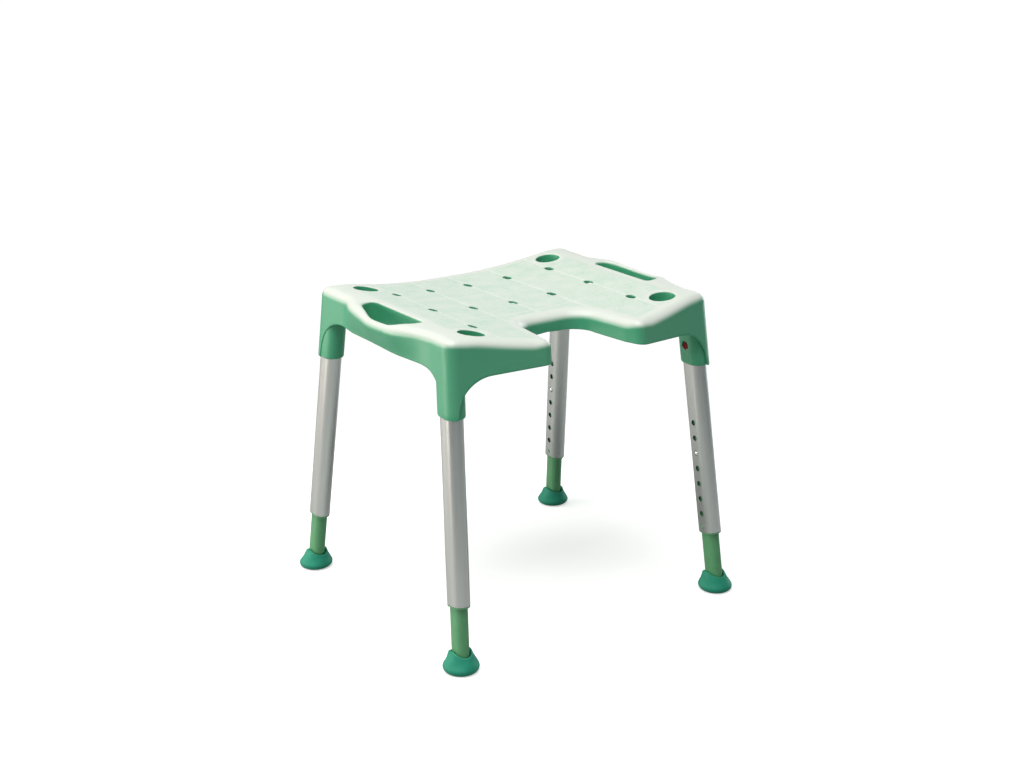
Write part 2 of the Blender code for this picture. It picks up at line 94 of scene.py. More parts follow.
# Skirt cut-aways: half width low down, half width at the legs, height at the legs, in the middle, radius
SIDE_ARCH = (0.1830, 0.1780, 0.434, 0.441, 0.062)
END_ARCH = (0.2330, 0.2240, 0.427, 0.438, 0.058)

# Dips in the hand-holds: middle, slope and radius
SCOOP_AT = (0.253, -0.015, 0.4758)
SCOOP_SLOPE = math.radians(22)
SCOOP_RADIUS = 0.600

# Handle slot on the right, and the other holes
SLOT_PLAN = (
    (0.2060, 0.064, 0.010),
    (0.2300, 0.063, 0.015),
    (0.2462, 0.006, 0.090),
    (0.2447, -0.050, 0.035),
    (0.2290, -0.0740, 0.030),
    (0.2050, -0.0790, 0.005),
)
DRAIN_SIZE = (0.0112, 0.0205)
DRAIN_ROWS = (
    (0.123, (0.0,)),
    (0.119, (-0.073, 0.073)),
    (0.102, (-0.145, 0.145)),
    (-0.005, (-0.145, -0.073, 0.0, 0.073, 0.145)),
    (-0.113, (-0.145, 0.145)),
)
CORNER_HOLE_SIZE = (0.0385, 0.0410)
CORNER_HOLES = [(x, y) for x in (-0.174, 0.174) for y in (0.147, -0.153)]

# Moulded tiles between fine grooves, and the ribs underneath
GROOVE_X = (-0.145, -0.073, 0.0, 0.073, 0.145)
GROOVE_Y = (-0.060, 0.060)
RIB_X = (-0.109, -0.0365, 0.0365, 0.109)
RIB_Y = (-0.060, 0.060)
RIB_BACK = 0.193
RIB_FRONT = -0.196
RIB_FRONT_AT_CUT_OUT = -0.083

# How finely shapes are divided: points on an arc, and steps along outlines and across the seat
ARC_POINTS = 24
FINE_STEP = 0.0006
OUTLINE_STEP = 0.0026
SLOT_STEP = 0.0022
TOP_STEP = 0.0045
UNDERSIDE_STEP = 0.009

# How the walls turn from upright to leaning, and how deep and how far the hand-holds fall back
WALL_TURN = 0.006
HAND_HOLD_DEPTH = 0.042
HAND_HOLD_SHARE = 0.55

# Grooves between tiles: widths, how shallow those along X are, and how far out the tiles reach
GROOVE_WIDTHS = (0.0013, 0.0016)
CROSS_GROOVE_SHARE = 0.6
TILES_HALF_WIDTH = 0.190
TILES_FADE = 0.006

# Small round edges and gaps
SKIRT_EDGE = 0.0012
SLEEVE_EDGE = 0.0008
SLEEVE_WALL = 0.003
TUBE_EDGE = 0.0004
GAP = 0.0003

# Legs, in the leg's own frame: +Z up its axis, +X towards the middle of the stool
SOCKET_SIZE = (0.0330, 0.0465)
TUBE_SIZE = (0.0270, 0.0390)
TUBE_WALL = 0.0015
TUBE_ENDS = (0.0990, 0.4550)
INNER_SIZE = (0.0205, 0.0305)
INNER_WALL = 0.0022
INNER_ENDS = (0.0100, 0.3000)
HEAD_LENGTH = 0.014
BUSH_ENDS = (0.0967, 0.1240)
BUSH_LIP_TOP = 0.0987
NUB_HEIGHT = 0.1080
HOLE_HEIGHTS = 0.1299 + 0.025 * np.arange(7)
SNAP_HEIGHT = HOLE_HEIGHTS[4]
LOCK_HEIGHT = 0.4047
HEIGHT_HOLE_RADIUS = 0.00425
NUB_HOLE_RADIUS = 0.0028
LOCK_HOLE_RADIUS = 0.0056
SNAP_HOLE_RADIUS = 0.0043

# The camera's place, its heading, tilt and roll in degrees, and its lens in millimetres
CAMERA_PLACE = (-1.3756, -2.0116, 1.1261)
CAMERA_TURNS = (-34.38, 18.09, -0.17)
CAMERA_LENS = 57.4


def length(label, description, default):
    """A length that a user might change."""
    return bpy.props.FloatProperty(name=label, description=description, default=default, unit="LENGTH")


def tint(label, description, default):
    """A colour that a user might change."""
    return bpy.props.FloatVectorProperty(
        name=label, description=description, default=default, subtype="COLOR"
    )


class StoolSizes(bpy.types.PropertyGroup):
    """Sizes of the finish that a user might change."""

    edge_inset: length("Edge width", "How far in the rolled edge of the seat starts", 0.0170)
    edge_drop: length("Edge drop", "How far the rolled edge of the seat falls", 0.0130)
    slot_lip: length("Slot lip", "Radius of the rounded rim of the handle slots", 0.0032)
    slot_grip: length("Slot grip", "Radius of the slots' outer rim, where the hand closes", 0.0060)
    hole_lip: length("Hole lip", "Radius of the rounded rim of the corner holes", 0.0020)
    drain_lip: length("Drain lip", "Radius of the rounded rim of the drain holes", 0.0011)
    wall: length("Skirt wall", "Thickness of the seat's skirt", 0.0035)
    plate: length("Seat plate", "Thickness of the seat's top", 0.0040)
    groove: length("Groove depth", "Depth of the fine grooves between the tiles", 0.00045)


class StoolFinish(bpy.types.PropertyGroup):
    """Colours of the stool's materials."""

    skirt: tint("Skirt", "Plastic of the skirt", (0.068, 0.420, 0.225))
    # Top: the paler colour of faces that look up, partly the frosted plastic's own tone and partly painted light
    # from above.
    top: tint("Top", "Frosted plastic of the sitting face", (0.66, 0.70, 0.65))
    tube: tint("Tube", "Anodised aluminium", (0.55, 0.57, 0.56))
    inner_leg: tint("Inner leg", "Plastic of the inner legs", (0.130, 0.43, 0.195))
    bush: tint("Guide bush", "Plastic of the guide bushes", (0.20, 0.50, 0.26))
    foot: tint("Foot", "Rubber of the feet", (0.020, 0.33, 0.210))
    button: tint("Lock button", "Red plastic of the lock buttons", (0.26, 0.004, 0.003))
    steel: tint("Steel", "Steel of the height buttons and springs", (0.72, 0.73, 0.74))


def sizes():
    """The sizes in use."""
    return bpy.context.scene.stool_sizes


def colours():
    """The colours in use."""
    return bpy.context.scene.stool_finish


# ---------------------------------------------------------------- plane curves

def circle(angles):
    """Points of the unit circle at angles."""
    return np.stack([np.cos(angles), np.sin(angles)], 1)


def raised(plan, height):
    """Points of the plan with their heights, each repeated as often as the other asks."""
    shape = np.broadcast_shapes(plan.shape[:-1], np.shape(height))
    plan = np.broadcast_to(plan, (*shape, 2))
    return np.concatenate([plan, np.broadcast_to(height, shape)[..., None]], -1)


def between(first, last, count):
    """Rows of values in even steps from one to another."""
    return first + (last - first) * np.linspace(0, 1, count)[:, None]


def smoothed(values, times):
    """Values round a closed line, each averaged with its neighbours a number of times."""
    for _ in range(times):
        values = (np.roll(values, 1, 0) + 2 * values + np.roll(values, -1, 0)) / 4
    return values


def rounded_outline(corners):
    """A closed outline through corners of x, y and radius: an arc of the radius touches both sides."""
    plan = np.array(corners)
    places = plan[:, :2]
    pieces = []
    for before, corner, after, radius in zip(
        np.roll(places, 1, 0), places, np.roll(places, -1, 0), plan[:, 2]
    ):
        back = (before - corner) / np.linalg.norm(before - corner)
        on = (after - corner) / np.linalg.norm(after - corner)
        half = math.acos(np.clip(back @ on, -1, 1)) / 2
        if radius == 0 or half > math.radians(89.5):
            pieces.append(corner[None])
            continue
        middle = corner + (back + on) / np.linalg.norm(back + on) * radius / math.sin(half)
        first = corner + back * radius / math.tan(half) - middle
        last = corner + on * radius / math.tan(half) - middle
        start = math.atan2(first[1], first[0])
        sweep = (math.atan2(last[1], last[0]) - start + math.pi) % (2 * math.pi) - math.pi
        angles = start + sweep * np.linspace(0, 1, ARC_POINTS)
        pieces.append(middle + radius * circle(angles))
    return np.concatenate(pieces)


def along(points):
    """The length along a closed line of points at each of them, and back at the first."""
    steps = np.linalg.norm(np.roll(points, -1, 0) - points, axis=1)
    return np.concatenate([[0.0], np.cumsum(steps)])


def thinned(points, measure, spacing):
    """Points of a closed outline picked so that a running measure grows evenly from one to the next."""
    count = round(measure[-1] / spacing)
    where = np.arange(count) * measure[-1] / count
    closed = np.vstack([points, points[:1]])
    return np.stack([np.interp(where, measure, column) for column in closed.T], 1)


def even_outline(points, spacing, softening):
    """The outline at an even spacing, each point then averaged with its neighbours over a short way."""
    return smoothed(thinned(points, along(points), spacing), round(2 * (softening / spacing) ** 2))


def left_normal(points):
    """The unit normals on the left of a closed line: the direction between both neighbours, turned."""
    ahead = np.roll(points, -1, 0) - np.roll(points, 1, 0)
    ahead = ahead / np.linalg.norm(ahead, axis=1)[:, None]
    return np.stack([-ahead[:, 1], ahead[:, 0]], 1)


def bend_radius(points, reach=6):
    """The radius of an even closed line where it turns left: the way between two steps over the turn."""
    step = np.roll(points, -1, 0) - points
    before, after = np.roll(step, reach, 0), np.roll(step, -reach, 0)
    turning = np.arctan2(
        before[:, 0] * after[:, 1] - before[:, 1] * after[:, 0], (before * after).sum(1)
    )
    return 2 * reach * np.linalg.norm(step, axis=1) / np.clip(turning, 0.01, None)


def ellipse(centre, size, count):
    """A closed ellipse that runs clockwise, so that the material round it is on its left."""
    return np.array(centre) + circle(-2 * np.pi * np.arange(count) / count) * np.array(size) / 2


def flat_oval(size, steps=18):
    """A counter-clockwise oval: two half circles across X, joined by straights along Y."""
    radius = size[0] / 2
    straight = size[1] / 2 - radius
    angles = np.pi * np.arange(steps + 1) / steps
    cap = np.stack([radius * np.cos(angles), straight + radius * np.sin(angles)], 1)
    side = np.linspace(1, -1, 7)[1:-1] * straight
    left = np.stack([np.full(5, -radius), side], 1)
    return np.concatenate([cap, left, -cap, -left])


def oval_rows(size, rows):
    """An oval carried up Z: one ring for each row of height and inset, each moved in along its normal."""
    ring = flat_oval(size)
    rows = np.array(rows)
    return raised(ring + left_normal(ring) * rows[:, 1, None, None], rows[:, 0, None])


def turned_rows(rows, count=40):
    """A profile of height and radius turned round Z."""
    rows = np.array(rows)
    ring = circle(2 * np.pi * np.arange(count) / count)
    return raised(ring * rows[:, 1, None, None], rows[:, 0, None])


def straight(first, last, inset, count):
    """Rows of a profile at even heights, all at one inset."""
    return np.column_stack([np.linspace(first, last, count), np.full(count, inset)])


def quarter(first, last, steps=6):
    """A quarter ellipse between two points of a profile, which leaves the first along its first axis."""
    turn_by = np.linspace(0, np.pi / 2, steps)
    ways = np.stack([np.sin(turn_by), 1 - np.cos(turn_by)], 1)
    return np.array(first) + (np.array(last) - np.array(first)) * ways


# ---------------------------------------------------------------- surfaces

class Surface:
    """Points and faces of grids and patches, gathered as arrays and made one mesh at the end."""

    def __init__(self):
        self.points = []
        self.faces = []
        self.count = 0

    def add_points(self, points):
        """Take points, and return their numbers in the same arrangement."""
        numbers = self.count + np.arange(points.size // 3).reshape(points.shape[:-1])
        self.points.append(points.reshape(-1, 3))
        self.count += numbers.size
        return numbers

    def add_strip(self, rows):
        """Rings one below the other, each joined to the next by a band of quads."""
        numbers = self.add_points(rows)
        self.join(numbers)
        return numbers

    def join(self, numbers):
        """Quads between rows of ring numbers: down the row, on round the ring, up and back."""
        upper, lower = numbers[:-1], numbers[1:]
        quads = np.stack([upper, lower, np.roll(lower, -1, 1), np.roll(upper, -1, 1)], -1)
        self.faces.append(quads.reshape(-1, 4))

    def add_pole(self, ring, place, above):
        """Triangles from a ring to one point above or below it."""
        pole = np.full(ring.shape, self.add_points(np.array(place)[None])[0])
        first, second = (ring, np.roll(ring, -1)) if above else (np.roll(ring, -1), ring)
        self.faces.append(np.stack([first, second, pole], -1))

    def add_solid(self, rows):
        """Rows from the middle of a piece's top, down its outside and to the middle of its bottom."""
        numbers = self.add_strip(rows)
        self.add_pole(numbers[0], rows[0].mean(0), True)
        self.add_pole(numbers[-1], rows[-1].mean(0), False)

    def add_ring(self, rows):
        """Rows down the outside of a sleeve and up its inside, the last joined to the first."""
        numbers = self.add_strip(rows)
        self.join(np.stack([numbers[-1], numbers[0]]))

    def add_mesh(self, mesh):
        """The points and faces of a mesh that is already made."""
        start = self.add_points(vertex_array(mesh))[0]
        mesh.calc_loop_triangles()
        corners = np.zeros(len(mesh.loop_triangles) * 3, int)
        mesh.loop_triangles.foreach_get("vertices", corners)
        self.faces.append(start + corners.reshape(-1, 3))

    def mesh(self, name):
        """All of it as one mesh."""
        points = np.concatenate(self.points)
        lengths = np.concatenate([np.full(len(f), f.shape[1]) for f in self.faces])
        corners = np.concatenate([f.ravel() for f in self.faces])
        made = bpy.data.meshes.new(name)
        made.vertices.add(len(points))
        made.vertices.foreach_set("co", points.astype(np.float32).ravel())
        made.loops.add(len(corners))
        made.loops.foreach_set("vertex_index", corners.astype(np.int32))
        made.polygons.add(len(lengths))
        starts = np.concatenate([[0], np.cumsum(lengths)[:-1]])
        made.polygons.foreach_set("loop_start", starts.astype(np.int32))
        made.update(calc_edges=True)
        made.validate()
        return made


def vertex_array(mesh):
    """The places of a mesh's vertices."""
    points = np.zeros(len(mesh.vertices) * 3)
    mesh.vertices.foreach_get("co", points)
    return points.reshape(-1, 3)


def new_object(mesh):
    """A mesh as an object of the scene."""
    made = bpy.data.objects.new(mesh.name, mesh)
    bpy.context.scene.collection.objects.link(made)
    return made


def cut(mesh, tool, name):
    """A mesh with another taken from it by an exact Boolean, as a new mesh."""
    target, cutter = new_object(mesh), new_object(tool)
    change = target.modifiers.new("cut", "BOOLEAN")
    change.operation = "DIFFERENCE"
    change.solver = "EXACT"
    change.object = cutter
    bpy.context.view_layer.update()
    ready = target.evaluated_get(bpy.context.evaluated_depsgraph_get())
    made = bpy.data.meshes.new_from_object(ready)
    made.name = name
    for old in (target, cutter):
        data = old.data
        bpy.data.objects.remove(old)
        bpy.data.meshes.remove(data)
    return made


def finish_piece(mesh, name, material, body, nodes, sharp=30):
    """Show a finished mesh as a piece that rides on a body in the place of its nodes."""
    mesh.name = name
    mesh.materials.clear()
    mesh.materials.append(material)
    mesh.shade_smooth()
    mesh.set_sharp_from_angle(angle=math.radians(sharp))
    made = new_object(mesh)
    made.name = name
    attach(made, body)
    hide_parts(*nodes)
    return made


# ---------------------------------------------------------------- leg frames

def leg_frames():
    """Each leg's name with its matrix: origin on the floor, +Z up the slide's axis, +X to the middle."""
    soles = {m["name"]: Vector(m["pos_m"]) for m in frame["record"]["mounts"]}
    slides = {j["name"]: Vector(j["axis"]) for j in frame["joints"]}
    found = {}
    for sole, place in soles.items():
        leg = sole.removesuffix("_sole")
        up = -slides[leg + "_height_adjust"].normalized()
        inward = -slides[leg + "_lock_press"]
        inward = (inward - up * inward.dot(up)).normalized()
        turned = Matrix((inward, up.cross(inward), up)).transposed().to_4x4()
        turned.translation = place
        found[leg] = turned
    return found


def moved(points, matrix):
    """Points carried by a matrix."""
    carry = np.array(matrix)
    return points @ carry[:3, :3].T + carry[:3, 3]


def sideways(points, height):
    """A piece turned round Z laid along the leg's X at a height on its axis."""
    return np.stack([points[..., 2], points[..., 1], height - points[..., 0]], -1)


def keep_values(mesh, name, values):
    """Keep a number or a place for each vertex of a mesh, for its material to read."""
    kind, slot = ("FLOAT_VECTOR", "vector") if values.ndim == 2 else ("FLOAT", "value")
    kept = mesh.attributes.new(name, kind, "POINT")
    kept.data.foreach_set(slot, values.astype(np.float32).ravel())


def keep_leg_place(mesh, matrix):
    """Keep each vertex's place in the leg's own frame, for grain that runs along the leg."""
    local = moved(vertex_array(mesh), matrix.inverted())
    keep_values(mesh, "leg_place", local)
    return local


# ---------------------------------------------------------------- seat

def soft_least(surfaces, blend=0.0018):
    """The least of several heights, with soft changes: minus the log of summed negative powers."""
    stack = np.stack(np.broadcast_arrays(*surfaces))
    least = stack.min(0)
    return least - blend * np.log(np.exp((least - stack) / blend).sum(0))


def seat_height(plan):
    """Height of the sitting face: a hollow cylinder along Y, below a level rim and two sloping dips."""
    x, y = plan[..., 0], plan[..., 1]
    hollow = SEAT_MIDDLE_Z + DISH_RADIUS - np.sqrt(DISH_RADIUS ** 2 - x ** 2)
    reach, middle, low = SCOOP_AT
    across = np.clip(y - middle, -0.15, 0.15)
    bowl = (SCOOP_RADIUS - np.sqrt(SCOOP_RADIUS ** 2 - across ** 2)) / math.cos(SCOOP_SLOPE)
    dip = low - (np.abs(x) - reach) * math.tan(SCOOP_SLOPE) + bowl
    return soft_least([hollow, np.full_like(x, SEAT_RIM_Z), dip])


def under_height(plan):
    """Height of the underside of the seat's plate."""
    return seat_height(plan) - sizes().plate


def groove_depth(plan):
    """Grooves as bell curves across their lines, fading out before the borders of the tiles."""
    x, y = plan[..., 0], plan[..., 1]
    along_y, along_x = GROOVE_WIDTHS
    bells = [np.exp(-((x - line) / along_y) ** 2) for line in GROOVE_X]
    bells += [CROSS_GROOVE_SHARE * np.exp(-((y - line) / along_x) ** 2) for line in GROOVE_Y]
    field = np.clip((TILES_HALF_WIDTH - np.abs(x)) / TILES_FADE, 0, 1)
    return sizes().groove * np.max(bells, axis=0) * field


def arch_height(shape, across):
    """Height of a skirt's cut-away at a distance from its middle: the corners' arcs and straights."""
    low_half, top_half, leg_height, middle_height, radius = shape
    corners = ((-low_half, 0.30, 0), (low_half, 0.30, 0), (top_half, leg_height, radius),
               (0, middle_height, 0), (-top_half, leg_height, radius))
    line = rounded_outline(corners)
    half = line[line[:, 0] >= 0]
    half = half[np.argsort(half[:, 0])]
    return np.interp(np.abs(across), half[:, 0], half[:, 1], right=0.0)


def wall_place(plan, height):
    """A point of the outline followed down its wall, which turns softly from upright to leaning out."""
    below = OUTLINE_Z + 0.003 - height
    drop = (below + np.sqrt(below ** 2 + WALL_TURN ** 2)) / 2
    beyond = np.clip(np.abs(plan[..., 0]) - BODY_HALF_WIDTH, 0, None)
    fade = np.clip(drop / HAND_HOLD_DEPTH, 0, 1)
    back = HAND_HOLD_SHARE * beyond * fade * fade * (3 - 2 * fade)
    straight = np.stack([plan[..., 0] - np.sign(plan[..., 0]) * back, plan[..., 1] + 0 * back], -1)
    return straight * (1 + drop[..., None] * SPLAY)


def skirt_bottom(plan):
    """Height of the skirt's lower edge: where the leaning wall first meets one of the cut-aways."""
    heights = np.linspace(OUTLINE_Z - 0.012, SOCKET_BOTTOM_Z, 900)
    walls = wall_place(plan[:, None], np.broadcast_to(heights, (len(plan), len(heights))))
    arches = np.maximum(
        arch_height(SIDE_ARCH, walls[..., 1]), arch_height(END_ARCH, walls[..., 0])
    )
    met = arches >= heights
    first = np.where(met.any(1), met.argmax(1), len(heights) - 1)
    return heights[first]


def edge_inset(plan):
    """How far in the rolled edge starts: less where the outline bends tightly or a slot is near."""
    size = sizes()
    room = least_distance(plan, np.concatenate(slot_outlines())) - size.slot_grip - 0.0008
    inset = np.clip(np.minimum(room, 0.72 * bend_radius(plan)), 0.0032, size.edge_inset)
    reach, passes = 14, 160
    inset = np.min([np.roll(inset, shift) for shift in range(-reach, reach + 1)], axis=0)
    return smoothed(inset, passes)


def seat_outline():
    """The seat's outline, counter-clockwise, with the lower edge's height and the rolled edge's width."""
    half = list(SEAT_HALF_PLAN)
    whole = half + [(-x, y, radius) for x, y, radius in reversed(half[1:-1])]
    line = even_outline(rounded_outline(whole)[::-1], FINE_STEP, 0.0022)
    line = np.column_stack([line, smoothed(skirt_bottom(line), 1), edge_inset(line)])
    return thinned(line, along(line[:, :3]), OUTLINE_STEP)


def slot_outlines():
    """Both handle slots, clockwise."""
    right = even_outline(rounded_outline(SLOT_PLAN), 0.0005, 0.0015)
    right = thinned(right, along(right), SLOT_STEP)
    return [right, (right * (-1, 1))[::-1]]


def in_blocks(points):
    """Points in blocks small enough to compare with every point of a ring at once."""
    return np.array_split(points, max(1, len(points) // 1500))


def least_distance(points, others):
    """The distance from each point to the nearest of some others, worked out in blocks."""
    squares = [((block[:, None] - others[None]) ** 2).sum(2).min(1) for block in in_blocks(points)]
    return np.sqrt(np.concatenate(squares))


def inside_rings(points, rings):
    """Whether points lie inside the first ring and outside the rest, by counting crossings of a ray."""
    starts = np.concatenate(rings)
    ends = np.concatenate([np.roll(ring, -1, 0) for ring in rings])
    odd = []
    for block in in_blocks(points):
        x, y = block[:, 0, None], block[:, 1, None]
        spans = (starts[:, 1] > y) != (ends[:, 1] > y)
        rise = np.where(ends[:, 1] == starts[:, 1], 1.0, ends[:, 1] - starts[:, 1])
        crossing = starts[:, 0] + (y - starts[:, 1]) / rise * (ends[:, 0] - starts[:, 0])
        odd.append((spans & (x < crossing)).sum(1) % 2 == 1)
    return np.concatenate(odd)


def filled(surface, ring_numbers, rings, lines_x, lines_y, height, upwards):
    """A patch between rings: points on crossing lines, joined to the rings by a Delaunay triangulation."""
    grid = np.stack(np.meshgrid(lines_x, lines_y), -1).reshape(-1, 2)
    grid = grid[inside_rings(grid, rings)]
    grid = grid[least_distance(grid, np.concatenate(rings)) > 0.0013]
    inner = surface.add_points(raised(grid, height(grid)))
    numbers = np.concatenate([*ring_numbers, inner])
    plan = np.concatenate([*rings, grid])
    edges, start = [], 0
    for ring in rings:
        here = start + np.arange(len(ring))
        edges.append(np.stack([here, np.roll(here, -1)], 1))
        start += len(ring)
    coordinates = [Vector(point) for point in plan.tolist()]
    solved = delaunay_2d_cdt(coordinates, np.concatenate(edges).tolist(), [], 0, 1e-7)
    origin = np.array([found[0] for found in solved[3]])
    corners = origin[np.array(solved[2])]
    middles = plan[corners].mean(1)
    corners = corners[inside_rings(middles, rings)]
    first, second, third = (plan[corners[:, i]] for i in range(3))
    area = np.cross(second - first, third - first)
    wrong = (area < 0) == upwards
    corners[wrong] = corners[wrong][:, ::-1]
    surface.faces.append(numbers[corners])


def lip_rows(plan, normal, inset, drop, steps=8, leaning=False):
    """The rolled edge: a quarter ellipse from the sitting face, inset from the edge, over and down.

    On a leaning edge each point is then followed down the seat's leaning wall.
    """
    turn_by = np.linspace(0, np.pi / 2, steps)[:, None]
    inward = inset * (1 - np.sin(turn_by))
    place = plan + normal * inward[..., None]
    height = seat_height(place) - drop * (1 - np.cos(turn_by))
    return raised(wall_place(place, height) if leaning else place, height)


def skirt_rows(line):
    """The outline's strip: over the rolled edge, down the leaning wall, under it, up inside and in."""
    size = sizes()
    plan, low, inset = line[:, :2], line[:, 2] + SKIRT_EDGE, line[:, 3]
    inward = left_normal(plan)
    drop = size.edge_drop * (0.35 + 0.65 * inset / size.edge_inset)
    rolled = lip_rows(plan, inward, inset, drop, 14, True)
    outer = between(rolled[-1, :, 2], low, 16)[1:]
    wall = raised(wall_place(plan, outer), outer)
    turn_by = np.linspace(0, np.pi, 8)[1:-1, None]
    heights = low - SKIRT_EDGE * np.sin(turn_by)
    shift = size.wall * (1 - np.cos(turn_by)) / 2
    under = raised(wall_place(plan, heights) + inward * shift[..., None], heights)
    ceiling = under_height(plan + inward * size.wall) - drop * 0.55
    inner = between(low, ceiling, 9)
    inside = raised(wall_place(plan, inner) + inward * size.wall, inner)
    bend = np.linspace(0, np.pi / 2, 5)[1:, None]
    reach = size.wall + (np.maximum(inset, size.wall + 0.003) - size.wall) * (1 - np.cos(bend))
    place = plan + inward * reach[..., None]
    vault = raised(place, ceiling + (under_height(place) - ceiling) * np.sin(bend))
    return np.concatenate([rolled, wall, under, inside, vault])


def hole_rows(plan, lip, sleeve=0.0):
    """A hole's strip: over its lip, down its wall and, round a sleeve's foot, up to the underside."""
    inward = left_normal(plan)
    rolled = lip_rows(plan, inward, lip, lip)
    top = rolled[-1, :, 2]
    if not sleeve:
        wall = raised(plan, between(top, under_height(plan) + 0.0003, 4)[1:])
        place = plan + inward * 0.0006
        return np.concatenate([rolled, wall, raised(place, under_height(place))[None]])
    low = SLEEVE_BOTTOM_Z + SLEEVE_EDGE
    wall = raised(plan, between(top, low, 8)[1:])
    turn_by = np.linspace(0, np.pi, 6)[1:-1, None]
    shift = sleeve * (1 - np.cos(turn_by)) / 2
    foot = raised(plan + inward * shift[..., None], low - SLEEVE_EDGE * np.sin(turn_by))
    back = plan + inward * sleeve
    behind = raised(back, between(low, under_height(back) - 0.001, 5))
    place = plan + inward * (sleeve + 0.0012)
    last = raised(place, under_height(place))[None]
    return np.concatenate([rolled, wall, foot, behind, last])


def hole_strips():
    """The strip of every hole in the seat."""
    size = sizes()
    strips = []
    for line in slot_outlines():
        outer = np.clip((np.abs(line[:, 0]) - 0.210) / 0.030, 0, 1)
        lip = size.slot_lip + (size.slot_grip - size.slot_lip) * outer
        strips.append(hole_rows(line, lip, SLEEVE_WALL))
    for place in CORNER_HOLES:
        strips.append(hole_rows(ellipse(place, CORNER_HOLE_SIZE, 64), size.hole_lip, SLEEVE_WALL))
    for y, columns in DRAIN_ROWS:
        for x in columns:
            strips.append(hole_rows(ellipse((x, y), DRAIN_SIZE, 32), size.drain_lip))
    return strips


def groove_lines(step, reach, grooves):
    """Even lines across the seat, with closer ones beside every groove."""
    near = np.array((-0.0034, -0.0022, -0.0013, -0.0006, 0.0, 0.0006, 0.0013, 0.0022, 0.0034))
    even = np.arange(-reach, reach + step / 2, step)
    close = (np.array(grooves)[:, None] + near).ravel()
    even = even[np.abs(even[:, None] - close).min(1) > step * 0.4]
    return np.sort(np.concatenate([even, close]))


def seat_plate():
    """The seat's moulding without its sockets and ribs, as one closed surface."""
    surface = Surface()
    strips = [skirt_rows(seat_outline())] + hole_strips()
    numbers = [surface.add_strip(rows) for rows in strips]
    filled(
        surface, [n[0] for n in numbers], [rows[0, :, :2] for rows in strips],
        groove_lines(TOP_STEP, 0.27, GROOVE_X), groove_lines(TOP_STEP, 0.23, GROOVE_Y),
        lambda plan: seat_height(plan) - groove_depth(plan), True,
    )
    filled(
        surface, [n[-1] for n in numbers], [rows[-1, :, :2] for rows in strips],
        np.arange(-0.27, 0.27, UNDERSIDE_STEP), np.arange(-0.23, 0.23, UNDERSIDE_STEP),
        under_height, False,
    )
    return surface


def add_rib(surface, first, last):
    """One rib: an upright wall whose top follows the underside of the plate, with a rounded foot."""
    first, last = np.array(first), np.array(last)
    ahead = (last - first) / np.linalg.norm(last - first)
    beside = np.array((-ahead[1], ahead[0]))
    path = between(first, last, 60)
    top = under_height(path) + 0.0012
    foot = np.full(len(path), RIB_BOTTOM_Z)
    profile = ((-0.0015, 0), (-0.0013, 0.9), (-0.0009, 1), (0.0009, 1), (0.0013, 0.9), (0.0015, 0))
    rows = []
    for shift, share in profile:
        lift = top + (foot + 0.0006 - top) * share if share < 1 else foot
        rows.append(raised(path + beside * shift, lift))
    numbers = surface.add_points(np.array(rows))
    surface.join(numbers.T[::-1])
    for end, flip in ((numbers[:, 0], 1), (numbers[:, -1], -1)):
        surface.faces.append(end[::flip][None])


def add_ribs(surface):
    """The grid of ribs under the seat, kept clear of the cut-out."""
    for x in RIB_X:
        front = RIB_FRONT_AT_CUT_OUT if abs(x) < 0.05 else RIB_FRONT
        add_rib(surface, (x, front), (x, RIB_BACK))
    for y in RIB_Y:
        add_rib(surface, (-0.200, y), (0.200, y))


def socket_columns(surface):
    """The four sockets: an oval sleeve up each leg's lean, level at its ends, closed above its bore."""
    low = SOCKET_BOTTOM_Z
    wall = (SOCKET_SIZE[0] - TUBE_SIZE[0]) / 2 - GAP
    rows = oval_rows(SOCKET_SIZE, np.vstack([
        [(0.4790, 0.0100), (0.4740, 0.0060), (0.4620, 0.0)],
        straight(0.4500, low + 0.0030, 0.0, 8),
        quarter((low + 0.0030, 0.0), (low, 0.0018))[1:],
        [(low, wall - 0.0003), (low + 0.0004, wall)],
        straight(0.39, BORE_TOP_Z, wall, 5),
        [(BORE_TOP_Z, wall + 0.006)],
    ]))
    lock_hole = turned_rows([(0.0330, 0.0086), (0.0162, 0.0072), (0.0152, 0.0069), (0.0040, 0.0069)])
    for matrix in leg_frames().values():
        lean = np.array(matrix.col[2][:3]) / matrix.col[2][2]
        foot = np.array(matrix.translation)
        column = rows.copy()
        column[..., :2] += foot[:2] + lean[:2] * rows[..., 2:]
        sleeve, tool = Surface(), Surface()
        sleeve.add_solid(column)
        tool.add_solid(moved(sideways(lock_hole, LOCK_HEIGHT), matrix))
        made = cut(sleeve.mesh("socket"), tool.mesh("lock_hole"), "socket_cut")
        surface.add_mesh(made)
        bpy.data.meshes.remove(made)


def mark_seat(mesh, line):
    """Keep how frosted each of the seat's points is: the tiles, away from edges, holes and grooves."""
    points = vertex_array(mesh)
    plan = points[:, :2]
    near_edge = least_distance(plan, line[::3, :2])
    near_slot = least_distance(plan, np.concatenate(slot_outlines())[::3])
    near_hole = least_distance(plan, np.array(CORNER_HOLES)) - CORNER_HOLE_SIZE[0] / 2
    border = np.minimum.reduce([near_edge - 0.020, near_slot - 0.010, near_hole - 0.006])
    on_top = np.clip((points[:, 2] - seat_height(plan) + 0.002) / 0.001, 0, 1)
    lines = groove_depth(plan) / sizes().groove
    frost = np.clip(border / 0.006, 0, 1) * on_top * np.clip(1 - 1.4 * lines, 0, 1)
    inside = np.clip((0.199 - np.abs(plan[:, 0])) / 0.006, 0, 1)
    keep_values(mesh, "frosting", frost * inside)


# ---------------------------------------------------------------- materials

def feed(tree, socket, value):
    """Link a socket to another node's output, or set it to a constant."""
    if isinstance(value, bpy.types.NodeSocket):
        tree.links.new(value, socket)
    else:
        socket.default_value = value


